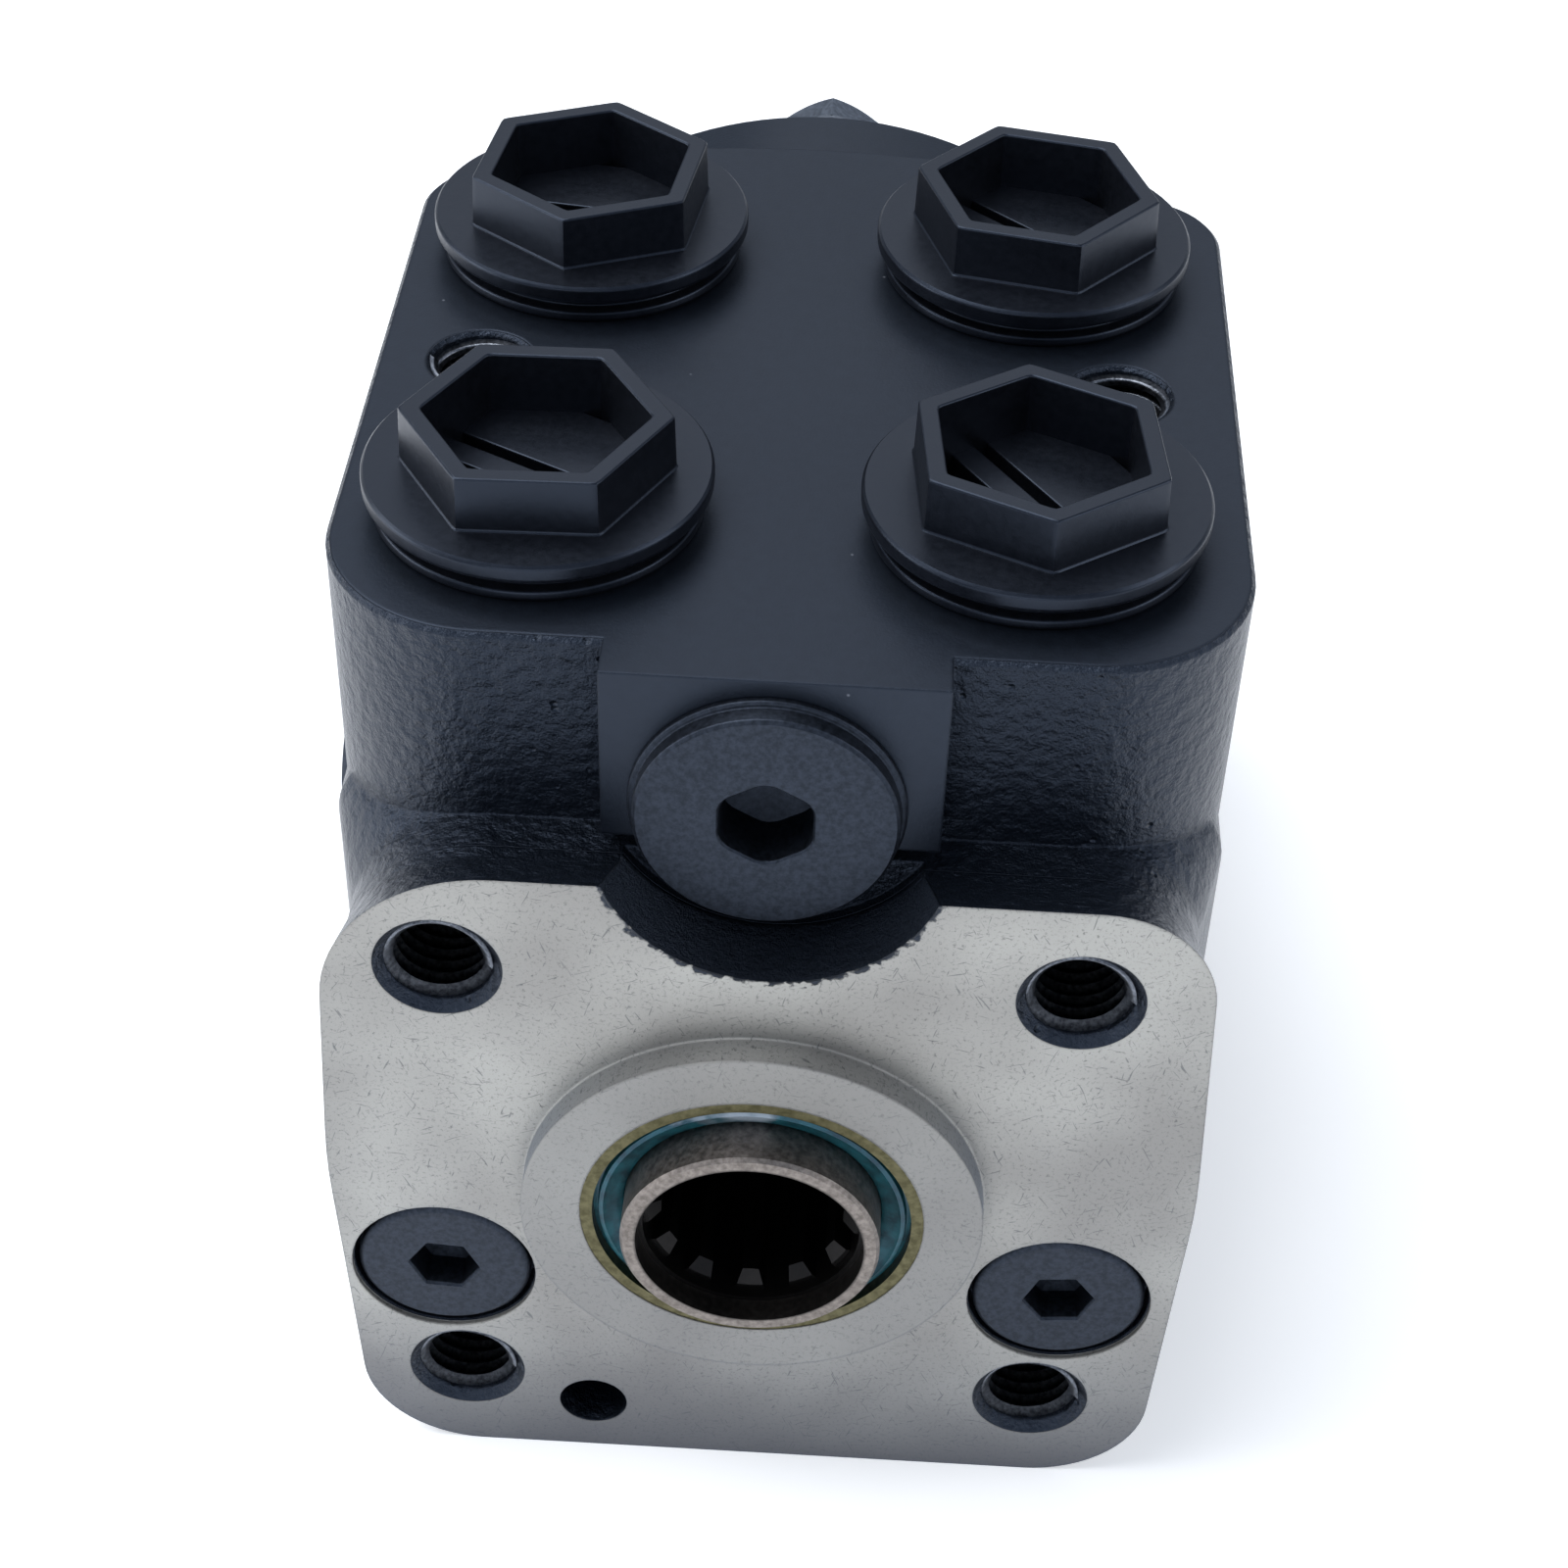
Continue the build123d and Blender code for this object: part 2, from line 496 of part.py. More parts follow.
def build_bearing():
    """Needle thrust bearing between the housing's shoulder and the end of the sleeve."""
    bore = NECK_RADIUS + 0.6
    rim = MAIN_BORE_RADIUS - 0.05
    outer = ring_y(MAIN_BORE_RADIUS, bore + 0.4, MAIN_BORE_Y, OUTER_RACE_END_Y)
    cage_y = OUTER_RACE_END_Y + 0.01
    needle_middle = cage_y + NEEDLE_RADIUS
    cage = ring_y(rim - 0.3, bore, needle_middle - 0.6, needle_middle + 0.6)
    inside, outside = bore + 0.9, rim - 1.0
    needles = []
    for k in range(NEEDLE_COUNT):
        turn = Rot(0, 360 / NEEDLE_COUNT * k, 0)
        needles.append(turn * rod_x(NEEDLE_RADIUS, inside, outside, needle_middle))
        cage -= turn * rod_x(NEEDLE_RADIUS + 0.03, inside - 0.05, outside + 0.05, needle_middle)
    inner = ring_y(rim, bore, INNER_RACE_Y, SLEEVE_Y)
    save(outer, "bearing_outer_race")
    save(cage, "bearing_cage")
    save(Compound(children=needles), "bearing_needles")
    save(inner, "bearing_inner_race")


# ---- sleeve, spool and what turns with them ---------------------------------------------------------
def radial_holes(radius, reach, y, count, start=0.0):
    """A row of radial drillings round the shaft axis, as one tool."""
    tool = rod_x(radius, 0, reach, y)
    return [Rot(0, start + 360 / count * k, 0) * tool for k in range(count)]


def build_sleeve():
    sleeve = ring_y(SLEEVE_RADIUS, SLEEVE_BORE_RADIUS, SLEEVE_Y, SLEEVE_END_Y)
    for y in FEED_GROOVES_Y:
        sleeve -= ring_y(SLEEVE_RADIUS + 1, SLEEVE_RADIUS - FEED_GROOVE_DEPTH, y - FEED_GROOVE_HALF,
                         y + FEED_GROOVE_HALF)
        sleeve -= radial_holes(FEED_HOLE_RADIUS, SLEEVE_RADIUS + 1, y, 6, 17)
    sleeve -= radial_holes(COMMUTATOR_HOLE_RADIUS, SLEEVE_RADIUS + 1, HOUSING_LENGTH - 9, 6)
    ring_front = SPRING_Y - RING_WIDTH / 2
    sleeve -= ring_y(SLEEVE_RADIUS + 1, SLEEVE_RADIUS - RING_THICKNESS, ring_front, ring_front + RING_WIDTH)
    slot = LEAF_COUNT * LEAF_THICKNESS + 2 * RUNNING_GAP
    sleeve -= Pos(0, SPRING_Y, 0) * Box(slot, SPRING_WIDTH + 0.2, 3 * SLEEVE_RADIUS)
    sleeve -= rod_x(PIN_RADIUS + 0.005, -SLEEVE_RADIUS - 1, SLEEVE_RADIUS + 1, PIN_Y)
    save(sleeve, "sleeve")


def build_spring_ring():
    half = RING_WIDTH / 2 - 0.05
    outer = SLEEVE_RADIUS - 0.1
    save(ring_y(outer, SLEEVE_RADIUS - RING_THICKNESS + 0.02, SPRING_Y - half, SPRING_Y + half), "spring_ring")


def build_leaf_springs():
    """A pack of flat leaves through the slots of sleeve and spool; the outer ones are arched in use."""
    length = 2 * (SLEEVE_RADIUS - RING_THICKNESS) - 0.6
    leaves = []
    for k in range(LEAF_COUNT):
        x = (k - (LEAF_COUNT - 1) / 2) * LEAF_THICKNESS
        leaf = Box(LEAF_THICKNESS - 0.02, SPRING_WIDTH, length)
        leaf = fillet(leaf.edges().filter_by(Axis.X), 1.0)
        leaves.append(Pos(x, SPRING_Y, 0) * leaf)
    save(Compound(children=leaves), "leaf_springs")


def build_cross_pin():
    length = 2 * (SLEEVE_RADIUS - 0.5)
    pin = rod_x(PIN_RADIUS, -length / 2, length / 2, PIN_Y)
    save(chamfer(pin.edges(), 0.6), "cross_pin")


def sector(radius, half_angle, centre_angle):
    """A pie slice about the shaft axis, in X and Z."""
    reach = radius / math.cos(math.radians(half_angle))
    a = on_circle(reach, centre_angle - half_angle)
    b = on_circle(reach, centre_angle + half_angle)
    return make_face(Polyline((0, 0), a, b, close=True))


def build_spool():
    """Hollow spool with a splined neck, slots for the springs and the pin, and its metering grooves."""
    mouth = -NECK_REACH
    shoulder = SLEEVE_Y + RUNNING_GAP
    spool = turned([
        (MOUTH_RADIUS, mouth), (NECK_RADIUS - 0.3, mouth), (NECK_RADIUS, mouth + 0.4),
        (NECK_RADIUS, shoulder), (SPOOL_RADIUS - 0.4, shoulder), (SPOOL_RADIUS, shoulder + 0.5),
        (SPOOL_RADIUS, SPOOL_END_Y - 0.5), (SPOOL_RADIUS - 0.5, SPOOL_END_Y), (SPOOL_BORE_RADIUS, SPOOL_END_Y),
        (SPOOL_BORE_RADIUS, mouth + MOUTH_DEPTH), (MOUTH_RADIUS, mouth + MOUTH_DEPTH)])
    teeth = []
    front = mouth + SPLINE_FRONT
    pitch = 360 / SPLINE_COUNT
    root_half, tip_half = pitch * SPLINE_ROOT_SHARE, pitch * SPLINE_TIP_SHARE
    reach = SPOOL_BORE_RADIUS + 0.6
    for k in range(SPLINE_COUNT):
        centre = 90 + pitch * k
        points = [
            on_circle(reach, centre - root_half), on_circle(SPLINE_TIP_RADIUS, centre - tip_half),
            on_circle(SPLINE_TIP_RADIUS, centre + tip_half), on_circle(reach, centre + root_half)]
        teeth.append(prism_y(make_face(Polyline(*points, close=True)), front, SPLINE_END_Y))
    tooth_ends = turned([
        (0, front - 1), (SPOOL_BORE_RADIUS, front - 0.4), (SPLINE_TIP_RADIUS - 0.2, front + 1.2), (0, front + 1.2)])
    ring = ring_y(SPOOL_BORE_RADIUS + 0.8, SPLINE_TIP_RADIUS - 1, front, SPLINE_END_Y)
    spool += [(tooth - tooth_ends) & ring for tooth in teeth]
    swing = SPOOL_SWING + 0.5
    # slots for the cross pin: the pin's own hole swept through the spool's travel
    hole = rod_x(PIN_RADIUS + 0.05, SPOOL_BORE_RADIUS / 2, SPOOL_RADIUS + 1, PIN_Y)
    for side in (0, 180):
        spool -= [Rot(0, side + turn, 0) * hole for turn in (-swing, 0, swing)]
        spool -= prism_y(sector(SPOOL_RADIUS + 1, swing, side), PIN_Y - PIN_RADIUS - 0.05,
                         PIN_Y + PIN_RADIUS + 0.05)
    # bow-tie slots that leave the spring pack room while the spool turns
    half_pack = LEAF_COUNT * LEAF_THICKNESS / 2 + 0.15
    half_angle = swing + math.degrees(math.asin(half_pack / SPOOL_BORE_RADIUS))
    for side in (90, 270):
        spool -= prism_y(sector(SPOOL_RADIUS + 1, half_angle, side), SPRING_Y - SPRING_WIDTH / 2 - 0.1,
                         SPRING_Y + SPRING_WIDTH / 2 + 0.1)
    feed = rod_y(METERING_RADIUS, FEED_GROOVES_Y[1] + 4, FEED_GROOVES_Y[2] + 4)
    exhaust = rod_y(METERING_RADIUS, FEED_GROOVES_Y[2] + 8, SPOOL_END_Y - 4)
    for k in range(6):
        x, z = on_circle(SPOOL_RADIUS, 30 + 60 * k)
        spool -= Pos(x, 0, z) * feed
        x, z = on_circle(SPOOL_RADIUS, 60 * k)
        spool -= Pos(x, 0, z) * exhaust
    save(spool, "spool")


# ---- cardan shaft and gear set ----------------------------------------------------------------------
def tilted(shape):
    """Lean a body about the cross pin so that its axis meets the rotor's centre."""
    return Pos(0, PIN_Y, 0) * Rot(CARDAN_TILT, 0, 0) * Pos(0, -PIN_Y, 0) * shape


def build_cardan():
    """Cardan shaft: a fork over the cross pin, a slim shank and a crowned spline head in the rotor."""
    front = PIN_Y - CARDAN_FRONT
    middle = PIN_Y + CARDAN_LENGTH
    head_y = middle - CARDAN_HEAD_FRONT
    head_end = middle + CARDAN_HEAD_REAR
    shaft = turned([
        (0, front), (CARDAN_FORK - 1.5, front), (CARDAN_FORK, front + 1.5), (CARDAN_FORK, PIN_Y + 6),
        (CARDAN_SHANK, PIN_Y + 11), (CARDAN_SHANK, head_y - 3), (CARDAN_ROOT, head_y),
        (CARDAN_ROOT, head_end), (0, head_end)])
    pitch = 360 / ROTOR_SPLINE_COUNT
    teeth = Sketch() + [
        Rot(0, 0, 90 + pitch * k) * Pos((CARDAN_ROOT + CARDAN_TIP) / 2 - 0.5, 0)
        * Rectangle(CARDAN_TIP - CARDAN_ROOT + 1, CARDAN_TOOTH_WIDTH) for k in range(ROTOR_SPLINE_COUNT)]
    crown = turned([
        (0, head_y), (CARDAN_TIP - 0.5, head_y), (CARDAN_TIP, middle - 1.2),
        (CARDAN_TIP, middle + 0.8), (CARDAN_TIP - 0.5, head_end), (0, head_end)])
    shaft += prism_y(teeth, head_y, head_end) & crown
    slot = PIN_RADIUS + 0.06
    reach = 2 * CARDAN_FORK
    bottom = PIN_Y + CARDAN_SLOT_RELIEF
    shaft -= rod_x(slot, -reach, reach, bottom)
    shaft -= Pos(0, (front - 5 + bottom) / 2, 0) * Box(2 * reach, bottom - front + 5, 2 * slot)
    save(tilted(shaft), "cardan_shaft")


def rotor_outline():
    """Six-toothed rotor: the envelope of the ring's lobes as the rotor orbits and turns.

    In the rotor's own frame the centre of a lobe runs along b cis(u) - e cis(7 u); the outline is that
    curve offset inwards by the lobe's radius and a small gap. A tooth valley faces the orbit direction.
    """
    offset = LOBE_RADIUS + ROTOR_GAP
    count = 16 * (LOBE_COUNT - 1)
    points = []
    for k in range(count):
        u = 2 * math.pi * k / count
        x = LOBE_CIRCLE * math.cos(u) - ECCENTRICITY * math.cos(LOBE_COUNT * u)
        y = LOBE_CIRCLE * math.sin(u) - ECCENTRICITY * math.sin(LOBE_COUNT * u)
        dx = -LOBE_CIRCLE * math.sin(u) + LOBE_COUNT * ECCENTRICITY * math.sin(LOBE_COUNT * u)
        dy = LOBE_CIRCLE * math.cos(u) - LOBE_COUNT * ECCENTRICITY * math.cos(LOBE_COUNT * u)
        size = math.hypot(dx, dy)
        points.append((x - offset * dy / size, y + offset * dx / size))
    return Rot(0, 0, 90) * make_face(Spline(*points, periodic=True))


def build_rotor():
    pitch = 360 / ROTOR_SPLINE_COUNT
    depth = ROTOR_SPLINE_ROOT - ROTOR_SPLINE_TIP
    spaces = Sketch() + [
        Rot(0, 0, 90 + pitch * k) * Pos(ROTOR_SPLINE_TIP + depth / 2 - 0.5, 0)
        * Rectangle(depth + 1, ROTOR_SPACE_WIDTH) for k in range(ROTOR_SPLINE_COUNT)]
    outline = rotor_outline() - Circle(ROTOR_SPLINE_TIP) - spaces
    save(prism_y(outline, GEAR_Y + 0.01, COVER_Y - 0.01, 0, ECCENTRICITY), "rotor")


def bolt_holes():
    return [Pos(*on_circle(BOLT_CIRCLE, angle)) * Circle(BOLT_HOLE_RADIUS) for angle in BOLT_ANGLES]


def build_gear_ring():
    pocket = LOBE_CIRCLE + 2 * ECCENTRICITY - LOBE_RADIUS + POCKET_GAP
    cavity = Circle(pocket) - [Pos(*on_circle(LOBE_CIRCLE, angle)) * Circle(LOBE_RADIUS) for angle in BOLT_ANGLES]
    ring = Circle(GEAR_RADIUS) - cavity - bolt_holes()
    save(prism_y(ring, GEAR_Y, COVER_Y), "gear_ring")


def ring_groove(y0, y1):
    """Face groove for one of the large O-rings."""
    return ring_y(O_RING_RADIUS + O_RING_GROOVE_WIDTH / 2, O_RING_RADIUS - O_RING_GROOVE_WIDTH / 2, y0, y1)


def build_distributor_plate():
    """Plate between the valve and the gear set: inner drillings meet the sleeve, outer kidneys the pockets."""
    centre = CARDAN_SHANK + ECCENTRICITY + 2.5
    plate = prism_y(Circle(GEAR_RADIUS) - Circle(centre) - bolt_holes(), PLATE_Y, GEAR_Y)
    half = 180 / LOBE_COUNT
    channel_y = PLATE_Y + PLATE_THICKNESS / 2
    for angle in BOLT_ANGLES:
        x, z = on_circle(COMMUTATOR_CIRCLE, angle + half)
        plate -= rod_y(COMMUTATOR_RADIUS, PLATE_Y - 1, channel_y + CHANNEL_RADIUS + CHANNEL_OVERLAP, x, z)
        plate -= Rot(0, -(angle + half), 0) * rod_x(CHANNEL_RADIUS, COMMUTATOR_CIRCLE, KIDNEY_CIRCLE, channel_y)
        x, z = on_circle(KIDNEY_CIRCLE, angle + half)
        plate -= rod_y(KIDNEY_RADIUS, channel_y - CHANNEL_RADIUS - CHANNEL_OVERLAP, GEAR_Y + 1, x, z)
    plate -= ring_groove(PLATE_Y - 1, PLATE_Y + 2 * O_RING_SECTION)
    plate -= ring_groove(GEAR_Y - 2 * O_RING_SECTION, GEAR_Y + 1)
    save(plate, "distributor_plate")


def build_end_cover():
    cover = prism_y(Circle(GEAR_RADIUS), COVER_Y, COVER_END_Y)
    cover = chamfer(cover.edges().sort_by(Axis.Y)[-1], COVER_CHAMFER)
    cover -= [rod_y(BOLT_HOLE_RADIUS, COVER_Y - 1, COVER_END_Y + 1, *on_circle(BOLT_CIRCLE, a)) for a in BOLT_ANGLES]
    save(cover - ring_groove(COVER_Y - 1, COVER_Y + 2 * O_RING_SECTION), "end_cover")


def build_o_rings():
    save(o_ring(O_RING_RADIUS, O_RING_SECTION, PLATE_Y + O_RING_SECTION), "o_ring_housing")
    save(o_ring(O_RING_RADIUS, O_RING_SECTION, GEAR_Y - O_RING_SECTION), "o_ring_plate")
    save(o_ring(O_RING_RADIUS, O_RING_SECTION, COVER_Y + O_RING_SECTION), "o_ring_cover")


def build_spacer():
    """Loose disc behind the cardan head, in the rotor's bore; it rides round with the orbit."""
    save(rod_y(SPACER_RADIUS, COVER_Y - 0.05 - SPACER_THICKNESS, COVER_Y - 0.05, 0, ECCENTRICITY), "spacer")


def bolt(angle, tip=0.0):
    """One M8 cover bolt; the thread is drawn at its core size."""
    x, z = on_circle(BOLT_CIRCLE, angle)
    seat = COVER_END_Y + WASHER_THICKNESS
    top = seat + BOLT_HEAD_HEIGHT
    crown = BOLT_HEAD_FLATS / 2 - 0.4
    head = prism_y(hexagon(BOLT_HEAD_FLATS, angle), seat, top, x, z)
    head &= cone_y(crown + 2 * BOLT_HEAD_HEIGHT, top - BOLT_HEAD_HEIGHT - 5, crown, top, x, z)
    thread_end = HOUSING_LENGTH - BOLT_THREAD_DEPTH
    screw = rod_y(BOLT_SHANK_RADIUS, HOUSING_LENGTH + 0.2, seat, x, z)
    screw += rod_y(BOLT_TAP_RADIUS - FIT, thread_end, HOUSING_LENGTH + 0.2, x, z)
    if tip:
        screw += rod_y(SUCTION_PIN_RADIUS, thread_end - tip, thread_end, x, z)
    return head + screw


def build_bolts():
    plain = [bolt(angle) for k, angle in enumerate(BOLT_ANGLES) if k != SPECIAL_BOLT]
    save(Compound(children=plain), "cover_bolts")
    save(bolt(BOLT_ANGLES[SPECIAL_BOLT], SPECIAL_TIP), "special_bolt")
    washers = [ring_y(WASHER_RADIUS, BOLT_HOLE_RADIUS, COVER_END_Y, COVER_END_Y + WASHER_THICKNESS,
                      *on_circle(BOLT_CIRCLE, angle)) for angle in BOLT_ANGLES]
    save(Compound(children=washers), "bolt_washers")


# ---- valves ---------------------------------------------------------------------------------------
def coil_spring(radius, wire, y0, y1, turns, x, z):
    """A compression spring along Y between two seats."""
    pitch = (y1 - y0 - 2 * wire) / turns
    path = Helix(pitch, y1 - y0 - 2 * wire, radius)
    section = Plane(origin=path @ 0, z_dir=path % 0) * Circle(wire)
    coil = sweep(section, path=path)
    return Pos(x, y0 + wire, z) * Rot(-90, 0, 0) * coil


def build_relief_valve():
    """Plug, adjusting screw, spring, poppet and seat, one behind the other in the cartridge's bore."""
    top = PAD_Y - RELIEF_PLUG_HEIGHT
    shank_end = PAD_Y + RELIEF_PLUG_SHANK
    thread = RELIEF_TAP_RADIUS - FIT
    spring_room = RELIEF_BORE_RADIUS - 1.4
    plug = turned([
        (0, top), (RELIEF_FACE_RADIUS, top), (RELIEF_PLUG_RADIUS - 0.25, top + 0.75),
        (RELIEF_PLUG_RADIUS, top + 1.0), (RELIEF_PLUG_RADIUS, PAD_Y), (thread, PAD_Y),
        (thread, shank_end), (spring_room, shank_end), (spring_room, shank_end - 3), (0, shank_end - 3)], 0, RELIEF_Z)
    plug -= prism_y(hexagon(RELIEF_SOCKET_FLATS, 30), top - 1, top + RELIEF_SOCKET_DEPTH, 0, RELIEF_Z)
    plug -= Pos(0, 0, RELIEF_Z) * ring_y(RELIEF_TAP_RADIUS + 1, RELIEF_TAP_RADIUS - 2.1, PAD_Y + 3, PAD_Y + 5)
    save(plug, "relief_plug")
    save(Pos(0, 0, RELIEF_Z) * o_ring(RELIEF_TAP_RADIUS - 1.2, 0.9, PAD_Y + 4), "relief_seal_ring")
    screw_y = shank_end + 2.5
    spring_y = screw_y + 6
    adjuster = rod_y(RELIEF_BORE_RADIUS - FIT, screw_y, spring_y, 0, RELIEF_Z)
    adjuster -= prism_y(hexagon(5.0, 30), screw_y - 1, screw_y + 3, 0, RELIEF_Z)
    save(adjuster + rod_y(2.2, spring_y, spring_y + 2, 0, RELIEF_Z), "relief_adjuster")
    seat_y = RELIEF_BORE_END_Y - RELIEF_SEAT_LENGTH
    save(turned([
        (3.0, seat_y), (RELIEF_BORE_RADIUS, seat_y), (RELIEF_BORE_RADIUS, RELIEF_BORE_END_Y),
        (2.0, RELIEF_BORE_END_Y), (2.0, seat_y + 1.0)], 0, RELIEF_Z), "relief_seat")
    save(turned([
        (0, seat_y + 0.4), (1.9, seat_y + 0.4), (3.4, seat_y - 1.4), (4.8, seat_y - 1.4), (4.8, seat_y - 3.4),
        (2.2, seat_y - 3.4), (2.2, seat_y - 6.4), (0, seat_y - 6.4)], 0, RELIEF_Z), "relief_poppet")
    save(coil_spring(3.9, 0.7, spring_y + 0.02, seat_y - 3.42, 6, 0, RELIEF_Z), "relief_spring")


def build_shock_valve(side, x):
    """Plug, spring, guide, ball and seat of one shock valve."""
    shank_end = SHOCK_COUNTERBORE_DEPTH + SHOCK_PLUG_SHANK
    thread = SHOCK_TAP_RADIUS - FIT
    plug = turned([
        (0, SHOCK_RECESS), (SHOCK_FACE_RADIUS, SHOCK_RECESS), (SHOCK_PLUG_RADIUS, SHOCK_RECESS + 0.5),
        (SHOCK_PLUG_RADIUS, SHOCK_COUNTERBORE_DEPTH), (thread, SHOCK_COUNTERBORE_DEPTH),
        (thread, shank_end), (0, shank_end)], x, SHOCK_Z)
    plug -= prism_y(hexagon(SHOCK_SOCKET_FLATS, 30), SHOCK_RECESS - 1, SHOCK_RECESS + SMALL_SOCKET_DEPTH, x, SHOCK_Z)
    plug -= Pos(x, 0, SHOCK_Z) * ring_y(SHOCK_TAP_RADIUS + 1, SHOCK_TAP_RADIUS - 1.6, 6.0, 7.6)
    save(plug, f"{side}_shock_plug")
    save(Pos(x, 0, SHOCK_Z) * o_ring(SHOCK_TAP_RADIUS - 0.8, 0.75, 6.8), f"{side}_shock_seal_ring")
    seat_y = SHOCK_BORE_END_Y - SHOCK_SEAT_LENGTH
    save(turned([
        (SHOCK_SEAT_RADIUS, seat_y), (SHOCK_BORE_RADIUS, seat_y), (SHOCK_BORE_RADIUS, SHOCK_BORE_END_Y),
        (1.6, SHOCK_BORE_END_Y), (1.6, seat_y + 1.2)], x, SHOCK_Z), f"{side}_shock_seat")
    ball_y = seat_y - math.sqrt(SHOCK_BALL_RADIUS ** 2 - SHOCK_SEAT_RADIUS ** 2) - 0.01
    save(Pos(x, ball_y, SHOCK_Z) * Sphere(SHOCK_BALL_RADIUS), f"{side}_shock_ball")
    guide_y = ball_y - SHOCK_BALL_RADIUS - 0.01
    save(turned([
        (0, guide_y), (3.6, guide_y), (3.6, guide_y - 1.5), (1.8, guide_y - 1.5), (1.8, guide_y - 4.5),
        (0, guide_y - 4.5)], x, SHOCK_Z), f"{side}_shock_spring_guide")
    save(coil_spring(3.1, 0.55, shank_end + 0.02, guide_y - 1.55, 8, x, SHOCK_Z), f"{side}_shock_spring")


def build_check_valve():
    """Emergency steering valve: a ball over a threaded bush under the rear right port."""
    x, y = PORTS["rear_right"]
    floor = PORT_FACE_Z - PORT_DEPTH - CHECK_BORE_DEPTH
    top = floor + CHECK_BUSH_LENGTH
    bush = rod_z(CHECK_BORE_RADIUS, floor, top, x, y) - rod_z(CHECK_SEAT_RADIUS, floor - 1, top + 1, x, y)
    save(bush, "check_valve_bush")
    ball_z = top + math.sqrt(CHECK_BALL_RADIUS ** 2 - CHECK_SEAT_RADIUS ** 2) + 0.01
    save(Pos(x, y, ball_z) * Sphere(CHECK_BALL_RADIUS), "check_valve_ball")


def build_suction_valves():
    """A ball on the shoulder under a bolt hole, held by a rolled pin in front of the bolt's end."""
    shoulder = HOUSING_LENGTH - BOLT_HOLE_DEPTH
    bolt_end = HOUSING_LENGTH - BOLT_THREAD_DEPTH
    for side, index in SUCTION_BOLTS.items():
        x, z = on_circle(BOLT_CIRCLE, BOLT_ANGLES[index])
        ball_y = shoulder + math.sqrt(SUCTION_BALL_RADIUS ** 2 - SUCTION_SEAT_RADIUS ** 2) + 0.01
        save(Pos(x, ball_y, z) * Sphere(SUCTION_BALL_RADIUS), f"{side}_suction_ball")
        pin_y = ball_y + SUCTION_BALL_RADIUS + SUCTION_STROKE + 0.05
        pin = ring_y(SUCTION_PIN_RADIUS, SUCTION_PIN_RADIUS - SUCTION_PIN_WALL, pin_y, bolt_end, x, z)
        save(pin, f"{side}_suction_pin")


# ---- caps and side plug -----------------------------------------------------------------------------
def transport_cap(x, y, turn):
    """Moulded cap: a hollow hexagon on a grooved disc, with a hollow shank in the port's thread."""
    lip_top = PORT_FACE_Z + CAP_LIP_HEIGHT
    groove_top = lip_top + CAP_GROOVE_HEIGHT
    disc_top = groove_top + CAP_DISC_HEIGHT
    hex_top = disc_top + CAP_HEX_HEIGHT
    cap = rod_z(CAP_LIP_RADIUS, PORT_FACE_Z, lip_top)
    cap += rod_z(CAP_GROOVE_RADIUS, lip_top, groove_top)
    disc = rod_z(CAP_DISC_RADIUS, groove_top, disc_top)
    cap += fillet(disc.edges(), CAP_DISC_EDGE)
    head = extrude(Plane(origin=(0, 0, disc_top)) * hexagon(CAP_HEX_FLATS), CAP_HEX_HEIGHT)
    head = fillet(head.edges().filter_by(Axis.Z), CAP_HEX_EDGE)
    cap += head
    floor = hex_top - CAP_RECESS_DEPTH
    recess = Plane(origin=(0, 0, floor)) * hexagon(CAP_HEX_FLATS - 2 * CAP_HEX_WALL)
    cap -= extrude(recess, CAP_RECESS_DEPTH + 1)
    slot = Box(2 * (CAP_HEX_FLATS / 2 - CAP_HEX_WALL) + 2, CAP_SLOT_WIDTH, 2 * CAP_SLOT_DEPTH)
    cap -= Pos(0, 0, floor) * slot & extrude(recess, CAP_RECESS_DEPTH + 1) + extrude(recess, -3)
    shank_end = PORT_FACE_Z - CAP_SHANK_LENGTH
    shank = rod_z(CAP_SHANK_RADIUS, shank_end, PORT_FACE_Z)
    cap += chamfer(shank.edges().sort_by(Axis.Z)[0], 0.8)
    cap -= rod_z(CAP_SHANK_RADIUS - CAP_SHANK_WALL, shank_end - 1, PORT_FACE_Z - 1)
    return Pos(x, y, 0) * Rot(0, 0, turn) * cap


def build_caps():
    for name, (x, y) in PORTS.items():
        save(transport_cap(x, y, CAP_TURNS[name]), f"{name}_port_cap")


def build_side_plug():
    """Socket plug of the side port, on its sealing washer."""
    face_x = WALL_X - SIDE_PLUG_HEIGHT
    collar_x = WALL_X - SIDE_SEAL_THICKNESS
    plug = rod_x(SIDE_PLUG_RADIUS, face_x, collar_x, SIDE_PORT_Y, SIDE_PORT_Z)
    plug = fillet(plug.edges().sort_by(Axis.X)[0], 0.6)
    plug += rod_x(SIDE_PORT_RADIUS - FIT, collar_x, WALL_X + SIDE_PLUG_SHANK, SIDE_PORT_Y, SIDE_PORT_Z)
    socket = Plane(origin=(face_x, SIDE_PORT_Y, SIDE_PORT_Z), z_dir=(1, 0, 0)) * hexagon(SIDE_PLUG_SOCKET)
    save(plug - extrude(socket, SMALL_SOCKET_DEPTH), "side_plug")
    washer = rod_x(SIDE_PLUG_RADIUS - 0.4, collar_x, WALL_X, SIDE_PORT_Y, SIDE_PORT_Z)
    save(washer - rod_x(SIDE_PORT_RADIUS, collar_x - 1, WALL_X + 1, SIDE_PORT_Y, SIDE_PORT_Z), "side_plug_seal")


